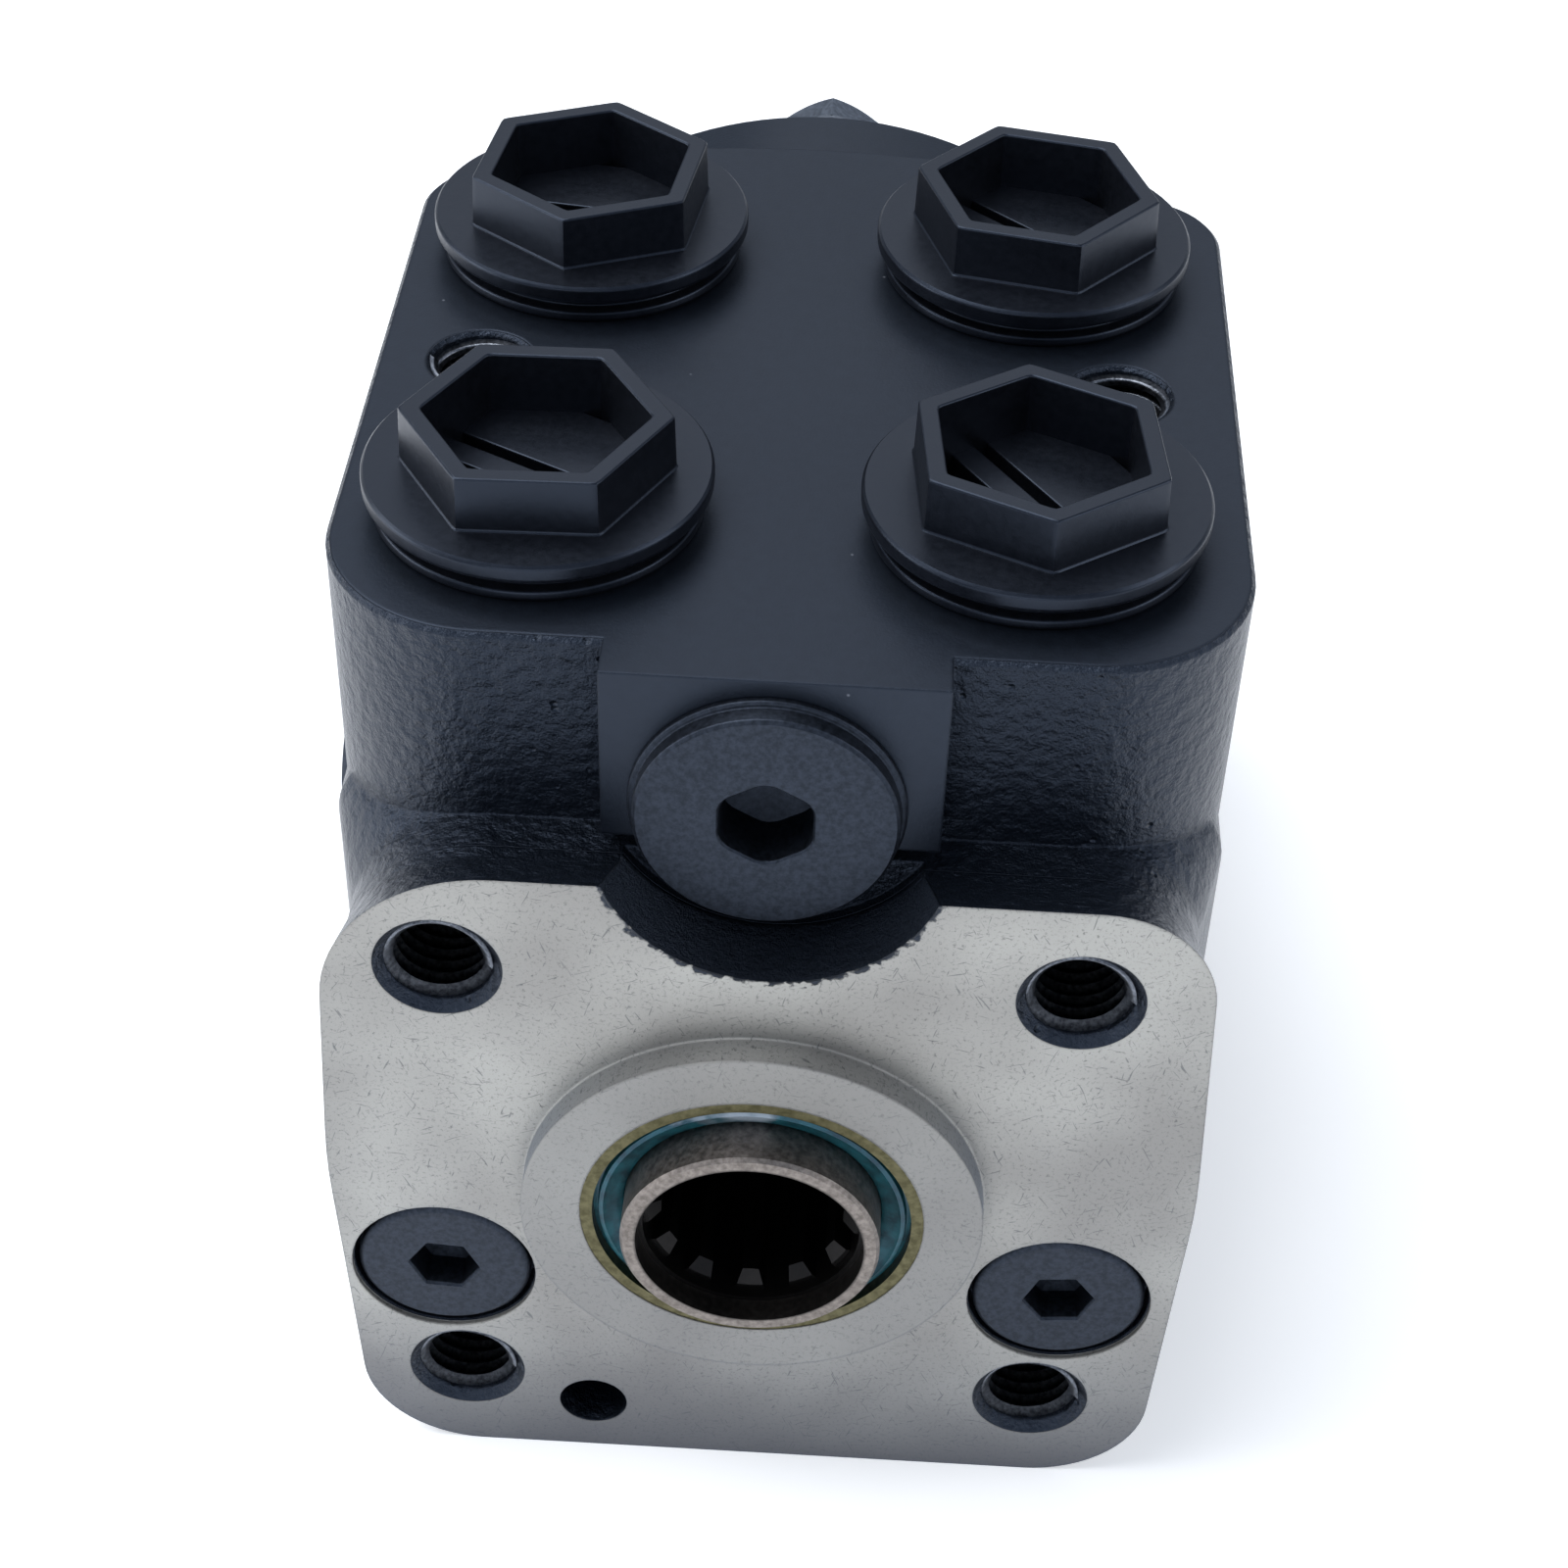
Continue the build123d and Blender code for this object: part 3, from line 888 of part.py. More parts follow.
def main():
    save(build_housing(), "housing")
    build_seals()
    build_bearing()
    build_sleeve()
    build_spring_ring()
    build_leaf_springs()
    build_cross_pin()
    build_spool()
    build_cardan()
    build_rotor()
    build_gear_ring()
    build_distributor_plate()
    build_end_cover()
    build_o_rings()
    build_spacer()
    build_bolts()
    build_relief_valve()
    build_shock_valve("left", -SHOCK_X)
    build_shock_valve("right", SHOCK_X)
    build_check_valve()
    build_suction_valves()
    build_caps()
    build_side_plug()


if __name__ == "__main__":
    main()
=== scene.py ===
"""Studio scene of an orbital steering unit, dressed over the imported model.

Metres, in the model's own frame: the shaft's axis is Y, the mounting face is y = 0 and faces -Y, Z is up.
Sizes below are millimetres and are turned to metres where a mesh is made.
"""
import json
import math

import bmesh
import bpy
from mathutils import Matrix, Vector


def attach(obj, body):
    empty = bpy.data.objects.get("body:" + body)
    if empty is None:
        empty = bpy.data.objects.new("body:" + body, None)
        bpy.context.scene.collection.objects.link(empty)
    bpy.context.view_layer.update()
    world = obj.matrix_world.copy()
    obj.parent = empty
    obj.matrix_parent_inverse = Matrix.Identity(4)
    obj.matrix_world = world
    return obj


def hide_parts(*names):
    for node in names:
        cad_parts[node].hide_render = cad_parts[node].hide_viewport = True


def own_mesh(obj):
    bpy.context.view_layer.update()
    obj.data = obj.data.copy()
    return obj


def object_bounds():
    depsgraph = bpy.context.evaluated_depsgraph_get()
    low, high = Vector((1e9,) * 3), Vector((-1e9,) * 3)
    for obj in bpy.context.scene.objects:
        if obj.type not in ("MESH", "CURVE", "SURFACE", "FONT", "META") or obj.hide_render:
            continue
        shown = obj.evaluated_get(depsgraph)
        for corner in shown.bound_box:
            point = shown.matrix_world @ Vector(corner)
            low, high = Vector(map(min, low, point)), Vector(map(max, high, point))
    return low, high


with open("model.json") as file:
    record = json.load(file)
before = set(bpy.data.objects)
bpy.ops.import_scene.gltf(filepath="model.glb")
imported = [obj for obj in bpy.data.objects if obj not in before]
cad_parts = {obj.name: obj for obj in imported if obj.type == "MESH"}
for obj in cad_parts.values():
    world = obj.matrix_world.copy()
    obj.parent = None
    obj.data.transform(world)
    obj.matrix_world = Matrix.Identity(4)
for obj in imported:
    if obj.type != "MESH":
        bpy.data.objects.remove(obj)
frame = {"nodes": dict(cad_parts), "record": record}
cad_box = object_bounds()

MM = 0.001

# ---- sizes of the real pieces, in millimetres ---------------------------------------------------------
PORT_FACE_Z = 58.6
PORTS = {                             # x, y and turn of each port's cap, in millimetres and degrees
    "front_left": (-22.8, 31.8, 2.0),
    "front_right": (22.8, 31.8, -24.5),
    "rear_left": (-22.8, 77.6, 23.2),
    "rear_right": (22.8, 77.6, -10.5),
}
MOUNT_OFFSET = 29.186                 # of each mounting hole from the shaft, along X and along Z
TOP_HOLE = (31.3, 54.7)               # x and y of the port face's tapped holes
M10_PITCH = 1.5
M10_MAJOR = 5.0
M10_MINOR = 4.22
M10_DEPTH = 15.0
TAP_RUN_OUT = 0.5
DRILL_POINT = 2.9
MOUNT_CHAMFER = 6.0
TOP_CHAMFER = 5.45
PILOT_HEIGHT = 3.0
RELIEF_Z = 44.4
RELIEF_Y = 7.5
SHOCK = (30.8, -13.3)                 # x and z of the shock valves' plugs
SHOCK_RECESS = 0.3
SHOCK_BORE = 9.2
SHOCK_BORE_DEPTH = 3.2
SHOCK_BARE_DEPTH = 0.7                # of the unpainted band in the counterbore's mouth
SHOCK_BARE_RADIUS = 9.9
SIDE_PLUG = (-41.5, 41.5, 17.0)
POCKET = (0.7, 45.6)                  # x and z of the round relief in the flange's top
POCKET_RADIUS = 15.8
OVERSPRAY = 3.2                       # how far the paint's edge round that relief strays, in all
HOUSING_REAR = 104.4
FLANGE_FOOT = -41.2                   # lowest point of the mounting flange
GEAR_SET_REACH = 119.0                # from the mounting face to where the gear set meets the floor
SEGMENTS = 144
HOLE_SEGMENTS = 96

COOL_SHEEN = "#c6dbff"                # gloss of the enamel and of the plastics

# ---- kinds of shader node that are used often --------------------------------------------------------
MATH = "ShaderNodeMath"
VECTOR = "ShaderNodeVectorMath"
RAMP = "ShaderNodeMapRange"
NOISE = "ShaderNodeTexNoise"
CELLS = "ShaderNodeTexVoronoi"
MIX = "ShaderNodeMix"


# ---- small tools ------------------------------------------------------------------------------------
def linear(hexcode):
    """An sRGB hex value as linear colour."""
    channels = [int(hexcode[i:i + 2], 16) / 255 for i in (1, 3, 5)]
    return [c / 12.92 if c <= 0.04045 else ((c + 0.055) / 1.055) ** 2.4 for c in channels] + [1.0]


def add(tree, kind, inputs=None, **settings):
    """Add a node, with its settings, its values and its links."""
    node = tree.nodes.new(kind)
    for name, value in settings.items():
        setattr(node, name, value)
    for key, value in (inputs or {}).items():
        if isinstance(value, bpy.types.NodeSocket):
            tree.links.new(value, node.inputs[key])
        else:
            node.inputs[key].default_value = value
    return node


def outward(x, y, z, axis):
    """Placement whose own Z leaves the body along this axis; place in millimetres."""
    columns = {
        "up": ((1, 0, 0), (0, 1, 0), (0, 0, 1)),
        "front": ((1, 0, 0), (0, 0, 1), (0, -1, 0)),
        "left": ((0, -1, 0), (0, 0, 1), (-1, 0, 0)),
    }[axis]
    turn = Matrix(columns).transposed().to_4x4()
    return Matrix.Translation(Vector((x, y, z)) * MM) @ turn


def link(name, mesh):
    """A new object in the scene with this mesh."""
    piece = bpy.data.objects.new(name, mesh)
    bpy.context.scene.collection.objects.link(piece)
    return piece


def poured(bm, name):
    """An object made of a finished bmesh, which is let go."""
    mesh = bpy.data.meshes.new(name)
    bm.to_mesh(mesh)
    bm.free()
    return link(name, mesh)


def finished(piece, body, material, nodes=()):
    """Give a piece its material, its body and the nodes that it stands for."""
    piece.data.materials.clear()
    piece.data.materials.append(material)
    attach(piece, body)
    if nodes:
        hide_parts(*nodes)
    return piece


def even_shading(piece, limit=34.0):
    """Smooth shading in which a flat keeps its direction up to its edge and a rounding bends away from it.

    Each corner's direction is the mean of the flats that meet there within the limit, by their areas.
    """
    mesh = piece.data
    mesh.shade_smooth()
    same_flat = math.cos(math.radians(0.3))
    smooth = math.cos(math.radians(limit))
    bm = bmesh.new()
    bm.from_mesh(mesh)
    flat_of = {}
    areas = []
    for seed in bm.faces:
        if seed in flat_of:
            continue
        flat_of[seed] = len(areas)
        waiting = [seed]
        area = 0.0
        while waiting:
            face = waiting.pop()
            area += face.calc_area()
            for edge in face.edges:
                for other in edge.link_faces:
                    if other not in flat_of and other.normal.dot(face.normal) > same_flat:
                        flat_of[other] = len(areas)
                        waiting.append(other)
        areas.append(area)
    normals = [None] * len(mesh.loops)
    for face in bm.faces:
        for loop in face.loops:
            near = [f for f in loop.vert.link_faces if f.normal.dot(face.normal) > smooth]
            around = {flat_of[f]: f.normal for f in near}
            around[flat_of[face]] = face.normal
            mean = sum((normal * areas[flat] for flat, normal in around.items()), Vector())
            normals[loop.index] = mean.normalized()
    bm.free()
    mesh.normals_split_custom_set(normals)


def reach(shape, size, angle, corner):
    """Distance from the middle to the outline at this angle; a hexagon's size is half its flats."""
    if shape == "round":
        return size
    near = (angle + math.pi / 6) % (math.pi / 3) - math.pi / 6
    flat = size / math.cos(math.pi / 6 - abs(near))
    centre = (size - corner) / math.cos(math.pi / 6)
    tangent = math.pi / 6 - math.atan((size - corner) * math.tan(math.pi / 6) / size)
    if abs(near) >= tangent:
        return flat
    return centre * math.cos(near) + math.sqrt(max(corner ** 2 - (centre * math.sin(near)) ** 2, 0.0))


def rounded(profile, edge, steps=3):
    """Round each corner of a (shape, size, height) profile by an arc of this size."""
    done = [profile[0]]
    for before, here, after in zip(profile, profile[1:], profile[2:]):
        point = Vector((here[1], here[2]))
        back = Vector((before[1], before[2])) - point
        ahead = Vector((after[1], after[2])) - point
        same = before[0] == here[0] == after[0]
        if not same or back.length < 1e-6 or ahead.length < 1e-6:
            done.append(here)
            continue
        cut = min(edge, back.length * 0.45, ahead.length * 0.45)
        start = point + back.normalized() * cut
        end = point + ahead.normalized() * cut
        for k in range(steps + 1):
            t = k / steps
            spot = start * (1 - t) ** 2 + point * 2 * t * (1 - t) + end * t ** 2
            done.append((here[0], spot.x, spot.y))
    done.append(profile[-1])
    return done


def turned(name, profile, place, edge=0.2, corner=0.5, turn=0.0, segments=SEGMENTS):
    """A closed body from a profile of rings, round or hexagonal, that starts and ends on its axis."""
    bm = bmesh.new()
    rings = []
    for shape, size, height in rounded(profile, edge):
        if size < 1e-6:
            rings.append([bm.verts.new(place @ Vector((0, 0, height * MM)))])
            continue
        ring = []
        for k in range(segments):
            angle = 2 * math.pi * k / segments
            far = reach(shape, size, angle, corner) * MM
            swing = angle + math.radians(turn)
            spot = Vector((far * math.cos(swing), far * math.sin(swing), height * MM))
            ring.append(bm.verts.new(place @ spot))
        rings.append(ring)
    for low, high in zip(rings, rings[1:]):
        for k in range(segments):
            n = (k + 1) % segments
            if len(low) == 1:
                bm.faces.new((low[0], high[k], high[n]))
            elif len(high) == 1:
                bm.faces.new((low[k], high[0], low[n]))
            else:
                bm.faces.new((low[k], low[n], high[n], high[k]))
    bmesh.ops.remove_doubles(bm, verts=bm.verts, dist=1e-7)
    bmesh.ops.recalc_face_normals(bm, faces=bm.faces)
    piece = poured(bm, name)
    even_shading(piece)
    return piece


def hoop(name, section, place):
    """A closed ring swept from a (radius, height) section about a placement's own Z."""
    bm = bmesh.new()
    spots = [2 * math.pi * k / SEGMENTS for k in range(SEGMENTS)]
    rings = []
    for size, height in section:
        points = [Vector((size * math.cos(a), size * math.sin(a), height)) * MM for a in spots]
        rings.append([bm.verts.new(place @ point) for point in points])
    for low, high in zip(rings, rings[1:] + rings[:1]):
        for k in range(SEGMENTS):
            n = (k + 1) % SEGMENTS
            bm.faces.new((low[k], low[n], high[n], high[k]))
    bmesh.ops.recalc_face_normals(bm, faces=bm.faces)
    piece = poured(bm, name)
    even_shading(piece, 50.0)
    return piece


def merged_copy(node, name):
    """A welded copy of a node's mesh."""
    bm = bmesh.new()
    bm.from_mesh(frame["nodes"][node].data)
    bmesh.ops.remove_doubles(bm, verts=bm.verts, dist=2e-6)
    return poured(bm, name)


def settle(piece):
    """Replace a piece's mesh by what its modifiers make of it."""
    graph = bpy.context.evaluated_depsgraph_get()
    mesh = bpy.data.meshes.new_from_object(piece.evaluated_get(graph))
    piece.modifiers.clear()
    piece.data = mesh
    return piece


# ---- materials --------------------------------------------------------------------------------------
def fresh(name):
    """A new material: itself, its nodes, its shader and the surface's place in millimetres."""
    material = bpy.data.materials.new(name)
    material.use_nodes = True
    tree = material.node_tree
    tree.nodes.clear()
    shader = add(tree, "ShaderNodeBsdfPrincipled", name="shader")
    add(tree, "ShaderNodeOutputMaterial", {"Surface": shader.outputs["BSDF"]})
    where = add(tree, "ShaderNodeTexCoord").outputs["Object"]
    place = add(tree, VECTOR, {0: where, 3: 1 / MM}, operation="SCALE", name="millimetres").outputs[0]
    return material, tree, shader, place


def brushed_metal(name, dark, light, roughness, grain_mm, relief):
    """Plain machined or plated steel: fine mottling in colour and gloss, a little relief."""
    material, tree, shader, place = fresh(name)
    mottle = add(tree, NOISE, {"Vector": place, "Scale": 1 / grain_mm, "Detail": 4.0, "Roughness": 0.6})
    mottle = mottle.outputs["Fac"]
    tint = add(tree, "ShaderNodeValToRGB", {"Fac": mottle})
    tint.color_ramp.elements[0].color = linear(dark)
    tint.color_ramp.elements[1].color = linear(light)
    tint.color_ramp.elements[0].position = 0.35
    tint.color_ramp.elements[1].position = 0.65
    gloss = add(tree, RAMP, {"Value": mottle, "To Min": roughness * 0.8, "To Max": roughness * 1.25})
    bump = add(tree, "ShaderNodeBump", {"Height": mottle, "Strength": relief, "Distance": 0.2 * MM})
    tree.links.new(tint.outputs["Color"], shader.inputs["Base Color"])
    tree.links.new(gloss.outputs["Result"], shader.inputs["Roughness"])
    tree.links.new(bump.outputs["Normal"], shader.inputs["Normal"])
    shader.inputs["Metallic"].default_value = 1.0
    return material


def moulded(name, dark, light, roughness, grain_mm, relief):
    """Moulded plastic or rubber: almost even colour, a fine skin from the tool."""
    material = brushed_metal(name, dark, light, roughness, grain_mm, relief)
    shader = material.node_tree.nodes["shader"]
    shader.inputs["Metallic"].default_value = 0.0
    shader.inputs["IOR"].default_value = 1.5
    shader.inputs["Specular Tint"].default_value = linear(COOL_SHEEN)
    return material


def casting_masks(tree, place):
    """Where each finish of the casting lies, from 0 to 1, and the slow noise of the paint's edge.

    A mask changes within a fraction of a millimetre of its face or radius, but the foot's, which carries
    painted shade, fades over 28 mm.
    """
    x, y, z = add(tree, "ShaderNodeSeparateXYZ", {0: place}).outputs
    wander = add(tree, NOISE, {"Vector": place, "Scale": 0.9, "Detail": 3.0}).outputs["Fac"]

    # bare iron: the mounting face, and a narrow band in the mouth of each shock valve's counterbore
    face = add(tree, RAMP, {"Value": y, "From Min": 0.08, "From Max": 0.04}).outputs[0]
    offset = add(tree, MATH, {0: x}, operation="ABSOLUTE").outputs[0]
    mirrored = add(tree, "ShaderNodeCombineXYZ", {"X": offset, "Z": z}).outputs[0]
    from_plug = add(tree, VECTOR, {0: mirrored, 1: (SHOCK[0], 0.0, SHOCK[1])}, operation="DISTANCE")
    from_plug = from_plug.outputs["Value"]
    beside_plug = add(tree, RAMP, {
        "Value": from_plug, "From Min": SHOCK_BARE_RADIUS + 0.1, "From Max": SHOCK_BARE_RADIUS}).outputs[0]
    in_mouth = add(tree, RAMP, {"Value": y, "From Min": 0.62, "From Max": 0.55}).outputs[0]
    band = add(tree, MATH, {0: beside_plug, 1: in_mouth}, operation="MULTIPLY").outputs[0]
    bare = add(tree, MATH, {0: face, 1: band}, operation="MAXIMUM").outputs[0]

    # enamel strays on to the mounting face round the relief in the flange's top
    across = add(tree, "ShaderNodeCombineXYZ", {"X": x, "Z": z}).outputs[0]
    from_pocket = add(tree, VECTOR, {0: across, 1: (POCKET[0], 0.0, POCKET[1])}, operation="DISTANCE")
    from_pocket = from_pocket.outputs["Value"]
    strayed = add(tree, MATH, {0: wander, 1: OVERSPRAY, 2: from_pocket}, operation="MULTIPLY_ADD").outputs[0]
    paint_edge = POCKET_RADIUS + OVERSPRAY / 2
    past_edge = add(tree, RAMP, {
        "Value": strayed, "From Min": paint_edge + 0.15, "From Max": paint_edge + 0.45}).outputs[0]
    bare = add(tree, MATH, {0: bare, 1: past_edge}, operation="MULTIPLY").outputs[0]

    # milled under the enamel: the port face and the relief valve's pad
    port_face = add(tree, RAMP, {
        "Value": z, "From Min": PORT_FACE_Z - 0.1, "From Max": PORT_FACE_Z - 0.04}).outputs[0]
    not_behind = add(tree, RAMP, {
        "Value": y, "From Min": RELIEF_Y + 0.08, "From Max": RELIEF_Y + 0.04}).outputs[0]
    not_before = add(tree, RAMP, {
        "Value": y, "From Min": RELIEF_Y - 0.1, "From Max": RELIEF_Y - 0.05}).outputs[0]
    pad = add(tree, MATH, {0: not_behind, 1: not_before}, operation="MULTIPLY").outputs[0]
    milled = add(tree, MATH, {0: port_face, 1: pad}, operation="MAXIMUM").outputs[0]

    # cast skin is what no tool has touched; the gear set behind the casting is turned
    gear_set = add(tree, RAMP, {
        "Value": y, "From Min": HOUSING_REAR - 0.1, "From Max": HOUSING_REAR}).outputs[0]
    tooled = add(tree, MATH, {0: milled, 1: bare}, operation="MAXIMUM").outputs[0]
    tooled = add(tree, MATH, {0: tooled, 1: gear_set}, operation="MAXIMUM").outputs[0]
    cast = add(tree, MATH, {0: 1.0, 1: tooled}, operation="SUBTRACT").outputs[0]
    within = add(tree, RAMP, {
        "Value": from_pocket, "From Min": POCKET_RADIUS + 0.2, "From Max": POCKET_RADIUS + 0.05}).outputs[0]
    ahead = add(tree, RAMP, {"Value": y, "From Min": RELIEF_Y, "From Max": RELIEF_Y - 0.6}).outputs[0]
    in_pocket = add(tree, MATH, {0: within, 1: ahead}, operation="MULTIPLY").outputs[0]

    # the boss, and the foot of the mounting face, where painted shade darkens the bare iron
    boss = add(tree, RAMP, {
        "Value": y, "From Min": 0.5 - PILOT_HEIGHT, "From Max": 0.05 - PILOT_HEIGHT}).outputs[0]
    foot = add(tree, RAMP, {"Value": z, "From Min": -18.0, "From Max": -46.0}).outputs[0]
    return {"wander": wander, "bare": bare, "milled": milled, "cast": cast, "in_pocket": in_pocket,
            "boss": boss, "foot": foot}


def enamel(tree, place, masks):
    """Colour and height of the enamel: orange-peel about 1.4 mm from crest to crest, with the sand's pits."""
    peel = add(tree, NOISE, {"Vector": place, "Scale": 0.7, "Detail": 5.0, "Roughness": 0.62}).outputs["Fac"]
    pits = add(tree, CELLS, {"Vector": place, "Scale": 0.42, "Randomness": 1.0}).outputs["Distance"]
    pit = add(tree, RAMP, {"Value": pits, "From Min": 0.16, "From Max": 0.02}).outputs[0]
    patches = add(tree, NOISE, {"Vector": place, "Scale": 0.11}).outputs["Fac"]
    rarely = add(tree, RAMP, {"Value": patches, "From Min": 0.52, "From Max": 0.6}).outputs[0]
    pit = add(tree, MATH, {0: pit, 1: rarely}, operation="MULTIPLY").outputs[0]
    pit = add(tree, MATH, {0: pit, 1: 0.6}, operation="MULTIPLY").outputs[0]
    skin = add(tree, MATH, {0: peel, 1: pit}, operation="SUBTRACT").outputs[0]

    # the relief in the flange's top is scaly, about 1 mm from crest to crest and three times as deep
    scale = add(tree, NOISE, {"Vector": place, "Scale": 1.0, "Detail": 6.0, "Roughness": 0.75}).outputs["Fac"]
    scale = add(tree, MATH, {0: scale, 1: 3.2}, operation="MULTIPLY").outputs[0]
    height = add(tree, MIX, {0: masks["in_pocket"], 2: skin, 3: scale}).outputs[0]
    height = add(tree, MATH, {0: height, 1: masks["cast"]}, operation="MULTIPLY").outputs[0]
    film = add(tree, NOISE, {"Vector": place, "Scale": 3.0, "Detail": 2.0}).outputs["Fac"]
    film = add(tree, MATH, {0: film, 1: 0.03}, operation="MULTIPLY").outputs[0]
    height = add(tree, MATH, {0: height, 1: film}, operation="ADD").outputs[0]

    # blue-black, a little uneven, with a few specks of dust on the milled faces
    uneven = add(tree, RAMP, {"Value": masks["wander"], "From Min": 0.3, "From Max": 0.7}).outputs[0]
    colour = add(tree, MIX, {
        0: uneven, 6: linear("#090c11"), 7: linear("#0e1218")}, data_type="RGBA").outputs[2]
    spots = add(tree, CELLS, {"Vector": place, "Scale": 0.16, "Randomness": 1.0}).outputs["Distance"]
    dust = add(tree, RAMP, {"Value": spots, "From Min": 0.035, "From Max": 0.015}).outputs[0]
    dust = add(tree, MATH, {0: dust, 1: masks["milled"]}, operation="MULTIPLY").outputs[0]
    dust = add(tree, MATH, {0: dust, 1: 0.5}, operation="MULTIPLY").outputs[0]
    colour = add(tree, MIX, {0: dust, 6: colour, 7: linear("#8c9099")}, data_type="RGBA").outputs[2]
    return colour, height


def milled_iron(tree, place, masks):
    """Colour and grain of bare iron: graphite specks, hair scratches, painted shade on the foot and a darker
    boss.
    """
    specks = add(tree, NOISE, {
        "Vector": place, "Scale": 2.4, "Detail": 6.0, "Roughness": 0.75}).outputs["Fac"]
    cloud = add(tree, NOISE, {"Vector": place, "Scale": 0.045, "Detail": 2.0}).outputs["Fac"]
    cloud = add(tree, RAMP, {"Value": cloud, "From Min": 0.35, "From Max": 0.65}).outputs[0]
    colour = add(tree, MIX, {
        0: cloud, 6: linear("#a9a8a3"), 7: linear("#918f8b")}, data_type="RGBA").outputs[2]
    graphite = add(tree, RAMP, {"Value": specks, "From Min": 0.54, "From Max": 0.72}).outputs[0]
    colour = add(tree, MIX, {0: graphite, 6: colour, 7: linear("#4c4d4c")}, data_type="RGBA").outputs[2]

    # hair scratches run four ways, each a noise drawn out 13 times along its own direction and bent a little
    sway = add(tree, NOISE, {"Vector": place, "Scale": 0.25, "Detail": 1.0}).outputs["Color"]
    bent = add(tree, VECTOR, {0: place, 1: sway}, operation="ADD").outputs[0]
    hair = 0.0
    for turn, shift in ((0.2, 3.0), (1.1, 11.0), (1.9, 23.0), (2.7, 41.0)):
        stretched = add(tree, "ShaderNodeMapping", {
            "Vector": bent, "Location": (shift, shift, shift), "Rotation": (0, turn, 0),
            "Scale": (2.6, 1.0, 0.2)}, vector_type="TEXTURE").outputs[0]
        line = add(tree, NOISE, {"Vector": stretched, "Scale": 1.0, "Detail": 1.0}).outputs["Fac"]
        line = add(tree, RAMP, {"Value": line, "From Min": 0.725, "From Max": 0.76}).outputs[0]
        hair = add(tree, MATH, {0: hair, 1: line}, operation="MAXIMUM").outputs[0]
    hair = add(tree, MATH, {0: hair, 1: 0.6}, operation="MULTIPLY").outputs[0]
    colour = add(tree, MIX, {0: hair, 6: colour, 7: linear("#56585a")}, data_type="RGBA").outputs[2]
    # painted shade: the bare iron turns darker towards the flange's foot
    colour = add(tree, MIX, {0: masks["foot"], 6: colour, 7: linear("#55565a")}, data_type="RGBA").outputs[2]
    blasted = add(tree, MATH, {0: masks["boss"], 1: 0.5}, operation="MULTIPLY").outputs[0]
    colour = add(tree, MIX, {0: blasted, 6: colour, 7: linear("#7d7c7a")}, data_type="RGBA").outputs[2]
    grain = add(tree, MATH, {0: specks, 1: masks["bare"]}, operation="MULTIPLY").outputs[0]
    return colour, grain


def painted_casting():
    """Grey iron under satin blue-black enamel.

    The raw cast walls keep the sand's orange-peel and pits under the paint. The port face and the pad are
    milled before painting, so they are smooth. The mounting face is masked and stays bare milled iron.
    """
    material, tree, shader, place = fresh("satin enamel on cast iron")
    masks = casting_masks(tree, place)
    film, height = enamel(tree, place, masks)
    iron, grain = milled_iron(tree, place, masks)
    colour = add(tree, MIX, {0: masks["bare"], 6: film, 7: iron}, data_type="RGBA").outputs[2]
    gloss_film = add(tree, MIX, {0: masks["milled"], 2: 0.30, 3: 0.42}).outputs[0]
    gloss = add(tree, MIX, {0: masks["bare"], 2: gloss_film, 3: 0.48}).outputs[0]
    metal = add(tree, MATH, {0: masks["bare"], 1: 0.85}, operation="MULTIPLY").outputs[0]
    edge = add(tree, "ShaderNodeBevel", {"Radius": 0.4 * MM}, samples=6).outputs["Normal"]
    bump = add(tree, "ShaderNodeBump", {
        "Height": height, "Strength": 0.9, "Distance": 0.6 * MM, "Normal": edge}).outputs["Normal"]
    grit = add(tree, "ShaderNodeBump", {
        "Height": grain, "Strength": 0.35, "Distance": 0.15 * MM, "Normal": bump})
    tree.links.new(colour, shader.inputs["Base Color"])
    tree.links.new(gloss, shader.inputs["Roughness"])
    tree.links.new(metal, shader.inputs["Metallic"])
    tree.links.new(grit.outputs["Normal"], shader.inputs["Normal"])
    shader.inputs["Specular Tint"].default_value = linear(COOL_SHEEN)
    return material


def spool_steel():
    """Ground spool steel, bright outside, with painted shade darkening it inside its bore."""
    bore, wall = 10.9, 11.2
    material = brushed_metal("ground spool steel", "#69635f", "#8c8580", 0.42, 0.6, 0.12)
    tree = material.node_tree
    base = tree.nodes["shader"].inputs["Base Color"]
    ground = base.links[0].from_socket
    place = tree.nodes["millimetres"].outputs[0]
    across = add(tree, VECTOR, {0: place, 1: (1.0, 0.0, 1.0)}, operation="MULTIPLY").outputs[0]
    radius = add(tree, VECTOR, {0: across}, operation="LENGTH").outputs["Value"]
    # painted shade: the steel is made near-black inside the bore
    inside = add(tree, RAMP, {"Value": radius, "From Min": wall, "From Max": bore}).outputs[0]
    bore_shaded = add(tree, MIX, {0: inside, 6: ground, 7: linear("#2b2a2a")}, data_type="RGBA").outputs[2]
    tree.links.new(bore_shaded, base)
    return material


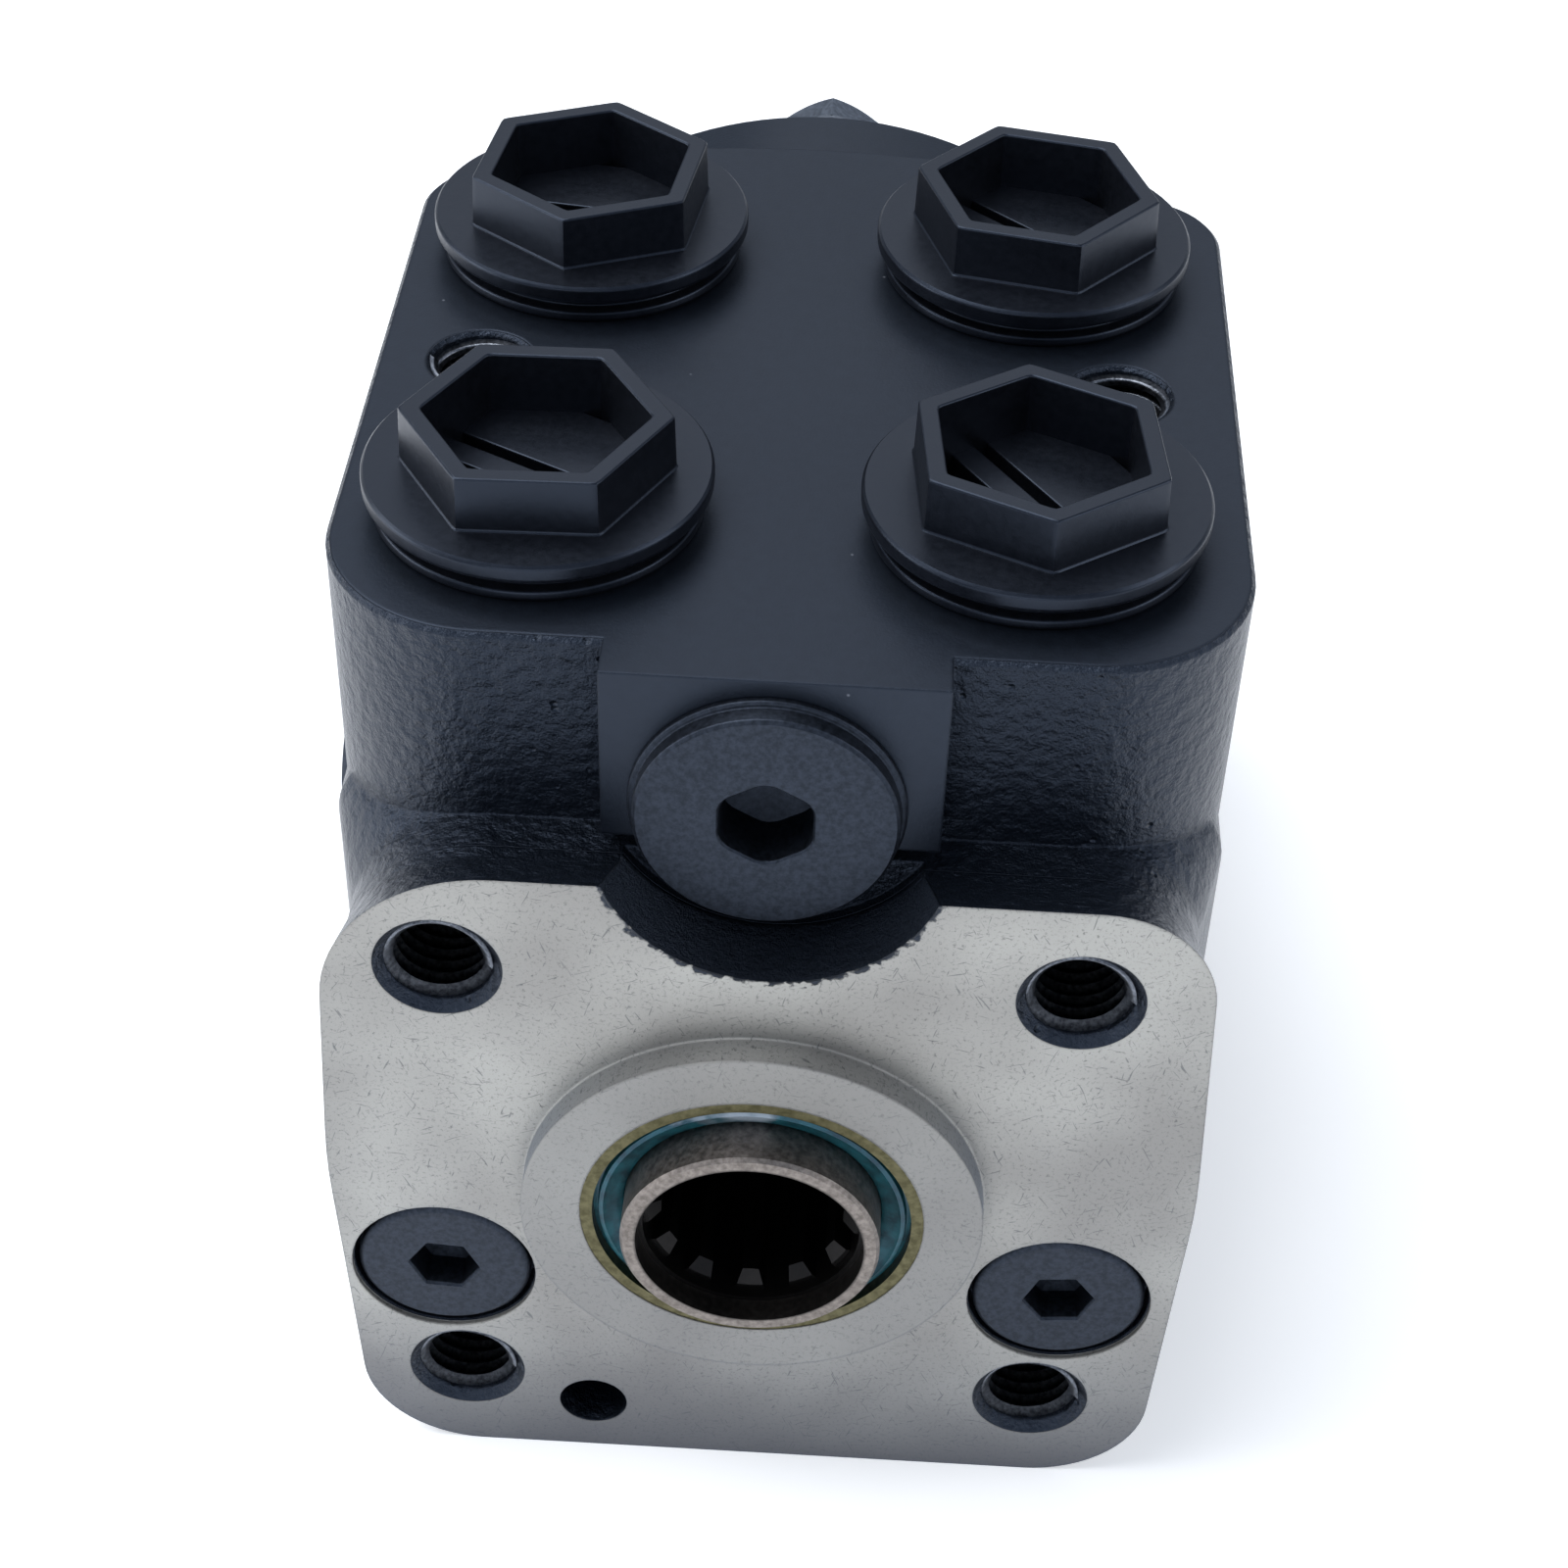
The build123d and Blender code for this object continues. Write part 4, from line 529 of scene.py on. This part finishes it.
def smeared_rubber():
    """Teal nitrile rubber with assembly grease wiped over the top of the ring."""
    material = moulded("teal nitrile rubber, greased", "#0a3037", "#1c5861", 0.32, 1.8, 0.20)
    tree = material.node_tree
    base = tree.nodes["shader"].inputs["Base Color"]
    rubber = base.links[0].from_socket
    place = tree.nodes["millimetres"].outputs[0]
    x, _, z = add(tree, "ShaderNodeSeparateXYZ", {0: place}).outputs
    patch = add(tree, NOISE, {"Vector": place, "Scale": 0.35, "Detail": 3.0}).outputs["Fac"]
    top = add(tree, RAMP, {"Value": z, "From Min": 10.5, "From Max": 13.5}).outputs[0]
    left = add(tree, RAMP, {"Value": x, "From Min": 4.5, "From Max": 1.0}).outputs[0]
    cover = add(tree, MATH, {0: top, 1: left}, operation="MULTIPLY").outputs[0]
    cover = add(tree, MATH, {0: cover, 1: patch}, operation="MULTIPLY").outputs[0]
    greased = add(tree, RAMP, {"Value": cover, "From Min": 0.3, "From Max": 0.55}).outputs[0]
    mixed = add(tree, MIX, {0: greased, 6: rubber, 7: linear("#9ba6b0")}, data_type="RGBA").outputs[2]
    tree.links.new(mixed, base)
    return material


ENAMEL = painted_casting()
SPOOL_STEEL = spool_steel()
SMEARED_RUBBER = smeared_rubber()

# Each finish: its name, darkest and lightest colour, roughness, grain in millimetres and strength of relief.
# Near-black with a soft, even sheen from the mould.
CAP_PLASTIC = moulded("injection moulded polyethylene", "#07080b", "#0c0d11", 0.36, 0.8, 0.08)
# Dull grey-blue crystals that hold oil: no clear reflection.
PHOSPHATE = brushed_metal("manganese phosphated steel", "#2b3038", "#393f4a", 0.48, 0.5, 0.05)
# Flanks cut through the paint, darkened by oil, with a glint on each crest.
THREAD_OXIDE = brushed_metal("cut thread under oil", "#4b4f57", "#80858e", 0.34, 0.4, 0.10)
# Warm grey and fine-grained; the polished kind is nearly a mirror.
GROUND_STEEL = brushed_metal("ground and lapped steel", "#6d6a67", "#8f8c88", 0.30, 0.7, 0.10)
HARD_STEEL = brushed_metal("hardened and polished steel", "#b8b8b8", "#cfcfce", 0.16, 1.5, 0.03)
# Dark blue-grey wire with a soft highlight along it.
SPRING_STEEL = brushed_metal("blued spring steel", "#3b3f49", "#565a63", 0.32, 0.8, 0.06)
# Plated: pale and bluish on the bolts, dull olive-gold on the dust seal's case.
ZINC = brushed_metal("bright zinc plate", "#666b73", "#858b94", 0.38, 0.6, 0.10)
OLIVE_PLATE = brushed_metal("olive chromated zinc", "#4a4732", "#67634a", 0.38, 0.8, 0.08)
# Moulded rings: matt, with a faint skin from the tool.
TEAL_RUBBER = moulded("teal nitrile rubber", "#0f3c44", "#1f5f68", 0.35, 1.6, 0.20)
BLACK_RUBBER = moulded("black nitrile rubber", "#0c0c0d", "#141415", 0.6, 0.6, 0.20)

NODE_FINISH = {
    "blue_black_paint": ENAMEL,
    "phosphated_steel": PHOSPHATE,
    "bright_steel": GROUND_STEEL,
    "hardened_steel": HARD_STEEL,
    "spring_steel": SPRING_STEEL,
    "zinc_plate": ZINC,
    "olive_plate": OLIVE_PLATE,
    "teal_rubber": TEAL_RUBBER,
    "black_rubber": BLACK_RUBBER,
    "black_plastic": CAP_PLASTIC,
}


def dress_nodes():
    """Every node gets the finish of its material slot, and the spool its own steel."""
    for entry in frame["record"]["subparts"]:
        mesh = frame["nodes"][entry["node"]].data
        finish = SPOOL_STEEL if entry["node"] == "spool" else NODE_FINISH[entry["material_slot"]]
        mesh.materials.clear()
        mesh.materials.append(finish)


# ---- pieces -----------------------------------------------------------------------------------------
def thread_tree():
    """Geometry Nodes: a helical thread of triangular section in every hole whose mouth is a point."""
    tree = bpy.data.node_groups.new("tapped thread", "GeometryNodeTree")
    face = tree.interface
    face.new_socket("Geometry", in_out="INPUT", socket_type="NodeSocketGeometry")
    for name, value in (("Pitch", M10_PITCH), ("Major Radius", M10_MAJOR), ("Minor Radius", M10_MINOR),
                        ("Length", M10_DEPTH)):
        socket = face.new_socket(name, in_out="INPUT", socket_type="NodeSocketFloat")
        socket.default_value = value * MM
    face.new_socket("Direction", in_out="INPUT", socket_type="NodeSocketVector")
    face.new_socket("Finish", in_out="INPUT", socket_type="NodeSocketMaterial")
    face.new_socket("Geometry", in_out="OUTPUT", socket_type="NodeSocketGeometry")
    given = add(tree, "NodeGroupInput").outputs
    major, minor = given["Major Radius"], given["Minor Radius"]
    turns = add(tree, MATH, {0: given["Length"], 1: given["Pitch"]}, operation="DIVIDE").outputs[0]
    spiral = add(tree, "GeometryNodeCurveSpiral", {
        "Resolution": 64, "Rotations": turns, "Start Radius": major, "End Radius": major,
        "Height": given["Length"]})
    depth = add(tree, MATH, {0: major, 1: minor}, operation="SUBTRACT").outputs[0]
    half = add(tree, MATH, {0: given["Pitch"], 1: 0.5}, operation="MULTIPLY").outputs[0]
    crest = add(tree, "ShaderNodeCombineXYZ", {"X": depth})
    foot = add(tree, "ShaderNodeCombineXYZ", {"Y": half})
    other_foot = add(tree, VECTOR, {0: foot.outputs[0], 3: -1.0}, operation="SCALE")
    section = add(tree, "GeometryNodeCurvePrimitiveQuadrilateral", {
        "Point 1": foot.outputs[0], "Point 2": crest.outputs[0], "Point 3": crest.outputs[0],
        "Point 4": other_foot.outputs[0]}, mode="POINTS")
    steady = add(tree, "GeometryNodeSetCurveNormal", {"Curve": spiral.outputs[0]}, mode="Z_UP")
    swept = add(tree, "GeometryNodeCurveToMesh", {
        "Curve": steady.outputs[0], "Profile Curve": section.outputs[0], "Fill Caps": True})
    aim = add(tree, "FunctionNodeAlignRotationToVector", {"Vector": given["Direction"]}, axis="Z")
    placed = add(tree, "GeometryNodeInstanceOnPoints", {
        "Points": given["Geometry"], "Instance": swept.outputs[0], "Rotation": aim.outputs[0]})
    real = add(tree, "GeometryNodeRealizeInstances", {0: placed.outputs[0]})
    finish = add(tree, "GeometryNodeSetMaterial", {"Geometry": real.outputs[0], "Material": given["Finish"]})
    add(tree, "NodeGroupOutput", {0: finish.outputs[0]})
    return tree


def threads(name, tree, mouths, direction, start):
    """Threads in the tapped holes with these mouths, from this far inside each."""
    inward = Vector(direction)
    mesh = bpy.data.meshes.new(name)
    mesh.from_pydata([Vector(m) * MM + inward * start * MM for m in mouths], [], [])
    piece = link(name, mesh)
    modifier = piece.modifiers.new("thread", "NODES")
    modifier.node_group = tree
    sockets = {item.name: item.identifier for item in tree.interface.items_tree if item.in_out == "INPUT"}
    modifier[sockets["Direction"]] = inward
    modifier[sockets["Finish"]] = THREAD_OXIDE
    settle(piece)
    return finished(piece, "housing", THREAD_OXIDE)


def tap_and_countersink(name, chamfer, place):
    """The cutter of one tapped hole: a drill with a countersinking cone above it."""
    over = 0.3
    bottom = -M10_DEPTH - TAP_RUN_OUT
    profile = [
        ("round", 0.0, bottom - DRILL_POINT), ("round", M10_MAJOR, bottom),
        ("round", M10_MAJOR, M10_MAJOR - chamfer), ("round", chamfer + over, over), ("round", 0.0, over)]
    return turned(name, profile, place, edge=0.0, segments=HOLE_SEGMENTS)


def housing():
    """The casting, with its M10 holes opened to the thread's full depth."""
    piece = merged_copy("housing", "housing_casting")
    mouths = [(i * MOUNT_OFFSET, 0, j * MOUNT_OFFSET) for i in (-1, 1) for j in (-1, 1)]
    tops = [(i * TOP_HOLE[0], TOP_HOLE[1], PORT_FACE_Z) for i in (-1, 1)]
    cutters = [tap_and_countersink("mount hole", MOUNT_CHAMFER, outward(*m, "front")) for m in mouths]
    cutters += [tap_and_countersink("top hole", TOP_CHAMFER, outward(*m, "up")) for m in tops]
    for cutter in cutters:
        cut = piece.modifiers.new("tapped hole", "BOOLEAN")
        cut.operation = "DIFFERENCE"
        cut.solver = "EXACT"
        cut.object = cutter
    settle(piece)
    for cutter in cutters:
        bpy.data.objects.remove(cutter)
    even_shading(piece)
    finished(piece, "housing", ENAMEL, ["housing"])
    tree = thread_tree()
    threads("mount_threads", tree, mouths, (0, 1, 0), MOUNT_CHAMFER - M10_MAJOR)
    threads("port_face_threads", tree, tops, (0, 0, -1), TOP_CHAMFER - M10_MAJOR)


def cap_shell(port, seat, turn, rim, floor):
    """The cap's peg, lip, groove, disc and hollow hexagon, as one turned body."""
    peg, lip, neck, disc, hexagon, hollow = 9.2, 15.3, 14.2, 16.1, 11.0, 9.05
    peg_end, bottom = -11.0, floor - 2.4
    profile = [
        ("round", 0.0, peg_end), ("round", peg - 0.6, peg_end), ("round", peg, peg_end + 0.6),
        ("round", peg, 0.02), ("round", lip - 0.3, 0.02), ("round", lip, 0.35), ("round", lip - 0.1, 1.05),
        ("round", neck, 1.35), ("round", neck, 2.35), ("round", disc - 0.2, 2.6), ("round", disc, 2.95),
        ("round", disc, 4.15), ("round", disc - 0.3, 4.45), ("hex", hexagon + 0.15, 4.45),
        ("hex", hexagon, 4.62),
        ("hex", hexagon - 0.15, rim - 0.15), ("hex", hexagon - 0.3, rim), ("hex", hollow + 0.15, rim),
        ("hex", hollow, rim - 0.15), ("hex", hollow - 0.15, bottom + 0.2), ("hex", hollow - 1.05, bottom),
        ("round", 0.0, bottom)]
    return turned(f"{port}_cap_body", profile, seat, edge=0.22, corner=0.55, turn=turn)


def cap_web(port, spin, floor):
    """The cap's floor: two slabs across the hexagon's hollow, with a screwdriver's slot between them."""
    slot, corner_reach, thickness = 1.3, 10.5, 2.0
    bm = bmesh.new()
    for near, far in ((slot / 2, 9.5), (-3.3, -slot / 2)):
        slab = bmesh.new()
        bmesh.ops.create_cone(slab, cap_ends=True, segments=6, radius1=corner_reach * MM,
                              radius2=corner_reach * MM, depth=thickness * MM)
        for side, limit in ((-1, near), (1, far)):
            parts = slab.verts[:] + slab.edges[:] + slab.faces[:]
            bmesh.ops.bisect_plane(slab, geom=parts, plane_co=(0, limit * MM, 0), plane_no=(0, side, 0),
                                   clear_outer=True)
            bmesh.ops.holes_fill(slab, edges=[e for e in slab.edges if e.is_boundary])
        bmesh.ops.translate(slab, verts=slab.verts, vec=(0, 0, (floor - thickness / 2) * MM))
        part = bpy.data.meshes.new("slab")
        slab.to_mesh(part)
        slab.free()
        bm.from_mesh(part)
        bpy.data.meshes.remove(part)
    bmesh.ops.transform(bm, matrix=spin, verts=bm.verts)
    bmesh.ops.recalc_face_normals(bm, faces=bm.faces)
    web = poured(bm, f"{port}_cap_floor")
    soft = web.modifiers.new("moulded edges", "BEVEL")
    soft.width = 0.16 * MM
    soft.segments = 2
    return settle(web)


def port_cap(port, x, y, turn):
    """Moulded transport cap, on its own body so that it can be pulled out."""
    rim, floor = 9.9, 3.9
    seat = outward(x, y, PORT_FACE_Z, "up")
    shell = cap_shell(port, seat, turn, rim, floor)
    finished(shell, f"{port}_cap", CAP_PLASTIC, [f"{port}_port_cap"])
    spin = seat @ Matrix.Rotation(math.radians(turn - 30.0), 4, "Z")
    finished(cap_web(port, spin, floor), f"{port}_cap", CAP_PLASTIC)


def plug(name, node, place, profile, edge, corner=0.12, turn=30.0):
    """A screwed plug of phosphated steel, in place of its node."""
    piece = turned(name, profile, place, edge=edge, corner=corner, turn=turn)
    return finished(piece, "housing", PHOSPHATE, [node])


def relief_plug():
    """The relief valve's plug: sealing ring, round head and an 8.4 mm hexagon socket."""
    thread, ring, head, socket, top = 9.27, 12.5, 11.95, 4.2, 2.7
    profile = [
        ("round", 0.0, -11.0), ("round", thread, -11.0), ("round", thread, 0.0), ("round", ring, 0.0),
        ("round", ring, 0.55), ("round", ring - 0.2, 0.75), ("round", head, 0.8), ("round", head, top - 0.3),
        ("round", head - 0.35, top), ("hex", socket + 0.2, top), ("hex", socket, top - 0.2),
        ("hex", socket, -2.8), ("round", 0.0, -4.2)]
    seat = outward(0, RELIEF_Y, RELIEF_Z, "front")
    plug("relief_valve_plug", "relief_plug", seat, profile, 0.12, corner=2.4)


def shock_plugs():
    """The shock valves' plugs, with 6 mm hexagon sockets, and the painted walls of their counterbores."""
    thread, head, socket, seat_depth = 7.57, 8.6, 3.0, -2.9
    profile = [
        ("round", 0.0, -10.9), ("round", thread, -10.9), ("round", thread, seat_depth),
        ("round", head, seat_depth), ("round", head, -0.5), ("round", head - 0.25, -0.25),
        ("round", head - 0.7, 0.0), ("hex", socket + 0.2, 0.0), ("hex", socket, -0.25), ("hex", socket, -3.6),
        ("round", 0.0, -4.4)]
    inner, outer = SHOCK_BORE - 0.12, SHOCK_BORE + 0.02
    wall = [(outer, -SHOCK_BORE_DEPTH), (outer, -SHOCK_BARE_DEPTH), (inner, -SHOCK_BARE_DEPTH),
            (inner, -SHOCK_BORE_DEPTH)]
    for side, x, turn in (("left", -SHOCK[0], -4.0), ("right", SHOCK[0], 6.0)):
        seat = outward(x, SHOCK_RECESS, SHOCK[1], "front")
        plug(f"{side}_shock_valve_plug", f"{side}_shock_plug", seat, profile, 0.15, turn=turn)
        liner = hoop(f"{side}_counterbore_wall", wall, outward(x, 0, SHOCK[1], "front"))
        finished(liner, "housing", ENAMEL)


def side_plug():
    """The plug of the port in the casting's left side."""
    thread, head, socket, top = 5.77, 8.2, 3.0, 3.0
    profile = [
        ("round", 0.0, -9.0), ("round", thread, -9.0), ("round", thread, 0.8), ("round", head, 0.8),
        ("round", head, top - 0.6), ("round", head - 0.6, top), ("hex", socket + 0.2, top),
        ("hex", socket, top - 0.25), ("hex", socket, -0.8), ("round", 0.0, -1.6)]
    plug("side_port_plug", "side_plug", outward(*SIDE_PLUG, "left"), profile, 0.2)


def dust_seal():
    """Moulded lip ring between the plated case and the spool's neck."""
    wall, lip, front, foot = 15.38, 12.49, 2.9, 2.2
    section = [(wall, -foot), (wall, front - 1.3), (wall - 0.45, front - 1.25), (wall - 0.6, front - 0.55),
               (wall - 1.0, front - 0.42), (wall - 1.35, front - 0.75), (lip + 0.75, front - 1.1),
               (lip + 0.22, front - 1.3), (lip, front - 1.6), (lip + 0.3, front - 2.4), (wall - 1.2, -foot)]
    piece = hoop("dust_seal_lip", section, outward(0, 0, 0, "front"))
    finished(piece, "housing", SMEARED_RUBBER, ["dust_seal"])


def valve_springs():
    """The coil springs, as welded copies of their nodes; nothing here shortens them as their valves lift."""
    for node, joint in (("relief_spring", "relief_poppet_lift"), ("left_shock_spring", "left_shock_lift"),
                        ("right_shock_spring", "right_shock_lift")):
        coil = merged_copy(node, f"{node}_coil")
        even_shading(coil)
        finished(coil, "housing", SPRING_STEEL, [node])
        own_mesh(coil)


# ---- studio -----------------------------------------------------------------------------------------
def stage():
    """A pale floor that the gear set and the foot of the flange both rest on."""
    foot = FLANGE_FOOT * MM
    slope = math.atan2(foot - cad_box[0].z, GEAR_SET_REACH * MM)
    lie = Matrix.Translation((0, 0, foot)) @ Matrix.Rotation(-slope, 4, "X")
    bm = bmesh.new()
    bmesh.ops.create_grid(bm, x_segments=1, y_segments=1, size=4.0)
    bmesh.ops.transform(bm, matrix=lie, verts=bm.verts)
    floor = poured(bm, "studio_floor")
    material, _, shader, _ = fresh("matte white paper")
    shader.inputs["Base Color"].default_value = linear("#f6f7f8")
    shader.inputs["Roughness"].default_value = 0.9
    shader.inputs["Specular IOR Level"].default_value = 0.1
    shader.inputs["Emission Color"].default_value = linear("#ffffff")
    shader.inputs["Emission Strength"].default_value = 0.35
    floor.data.materials.append(material)


def softbox(name, place, target, size, watts):
    """A rectangular lamp that is turned to its target."""
    lamp = bpy.data.lights.new(name, "AREA")
    lamp.shape = "RECTANGLE"
    lamp.size, lamp.size_y = size
    lamp.energy = watts
    holder = bpy.data.objects.new(name, lamp)
    holder.location = place
    holder.rotation_euler = (Vector(target) - Vector(place)).to_track_quat("-Z", "Y").to_euler()
    bpy.context.scene.collection.objects.link(holder)


def lights():
    """A large softbox overhead, four weak ones around, and a cool sky that the camera sees as white."""
    world = bpy.data.worlds.new("studio")
    bpy.context.scene.world = world
    world.use_nodes = True
    tree = world.node_tree
    tree.nodes.clear()
    seen = add(tree, "ShaderNodeLightPath").outputs["Is Camera Ray"]
    sky = add(tree, "ShaderNodeBackground", {"Color": linear("#bccadf"), "Strength": 0.55})
    white = add(tree, "ShaderNodeBackground", {"Color": linear("#ffffff"), "Strength": 1.0})
    both = add(tree, "ShaderNodeMixShader", {0: seen, 1: sky.outputs[0], 2: white.outputs[0]})
    add(tree, "ShaderNodeOutputWorld", {"Surface": both.outputs[0]})
    softbox("key softbox", place=(-0.35, 0.12, 0.85), target=(0, 0.04, 0), size=(0.9, 0.7), watts=8.5)
    softbox("left softbox", place=(-0.75, 0.0, 0.22), target=(0, 0.03, 0), size=(0.5, 0.3), watts=2.2)
    softbox("right softbox", place=(0.75, -0.1, 0.4), target=(0, 0.03, 0), size=(0.5, 0.4), watts=1.8)
    softbox("front softbox", place=(-0.1, -0.75, 0.30), target=(0, 0, 0), size=(0.6, 0.3), watts=1.2)
    softbox("back softbox", place=(0.15, 0.8, 0.7), target=(0, 0.06, 0.03), size=(0.9, 0.4), watts=1.0)


def camera():
    """The viewing angle: a short telephoto, looking down at the mounting face."""
    frame_pixels, focal_pixels = 1600, 2941.27
    axis_pixel = (867.53, 788.73)
    place = Vector((8.238, -183.480, 215.168)) * MM
    yaw, pitch, roll = -0.005535, 0.716735, 0.052359
    ahead = Vector((math.sin(yaw) * math.cos(pitch), math.cos(yaw) * math.cos(pitch), -math.sin(pitch)))
    right = Vector((math.cos(yaw), -math.sin(yaw), 0))
    up = right.cross(ahead)
    across = right * math.cos(roll) + up * math.sin(roll)
    upright = up * math.cos(roll) - right * math.sin(roll)
    lens = bpy.data.cameras.new("camera")
    lens.sensor_width = 36.0
    lens.lens = focal_pixels / frame_pixels * lens.sensor_width
    lens.shift_x = 0.5 - axis_pixel[0] / frame_pixels
    lens.shift_y = axis_pixel[1] / frame_pixels - 0.5
    lens.clip_start = 0.01
    holder = bpy.data.objects.new("camera", lens)
    holder.matrix_world = Matrix.Translation(place) @ Matrix((across, upright, -ahead)).transposed().to_4x4()
    bpy.context.scene.collection.objects.link(holder)
    bpy.context.scene.camera = holder
    bpy.context.scene.view_settings.view_transform = "Standard"


dress_nodes()
housing()
for port, (x, y, turn) in PORTS.items():
    port_cap(port, x, y, turn)
relief_plug()
shock_plugs()
side_plug()
dust_seal()
valve_springs()
stage()
lights()
camera()
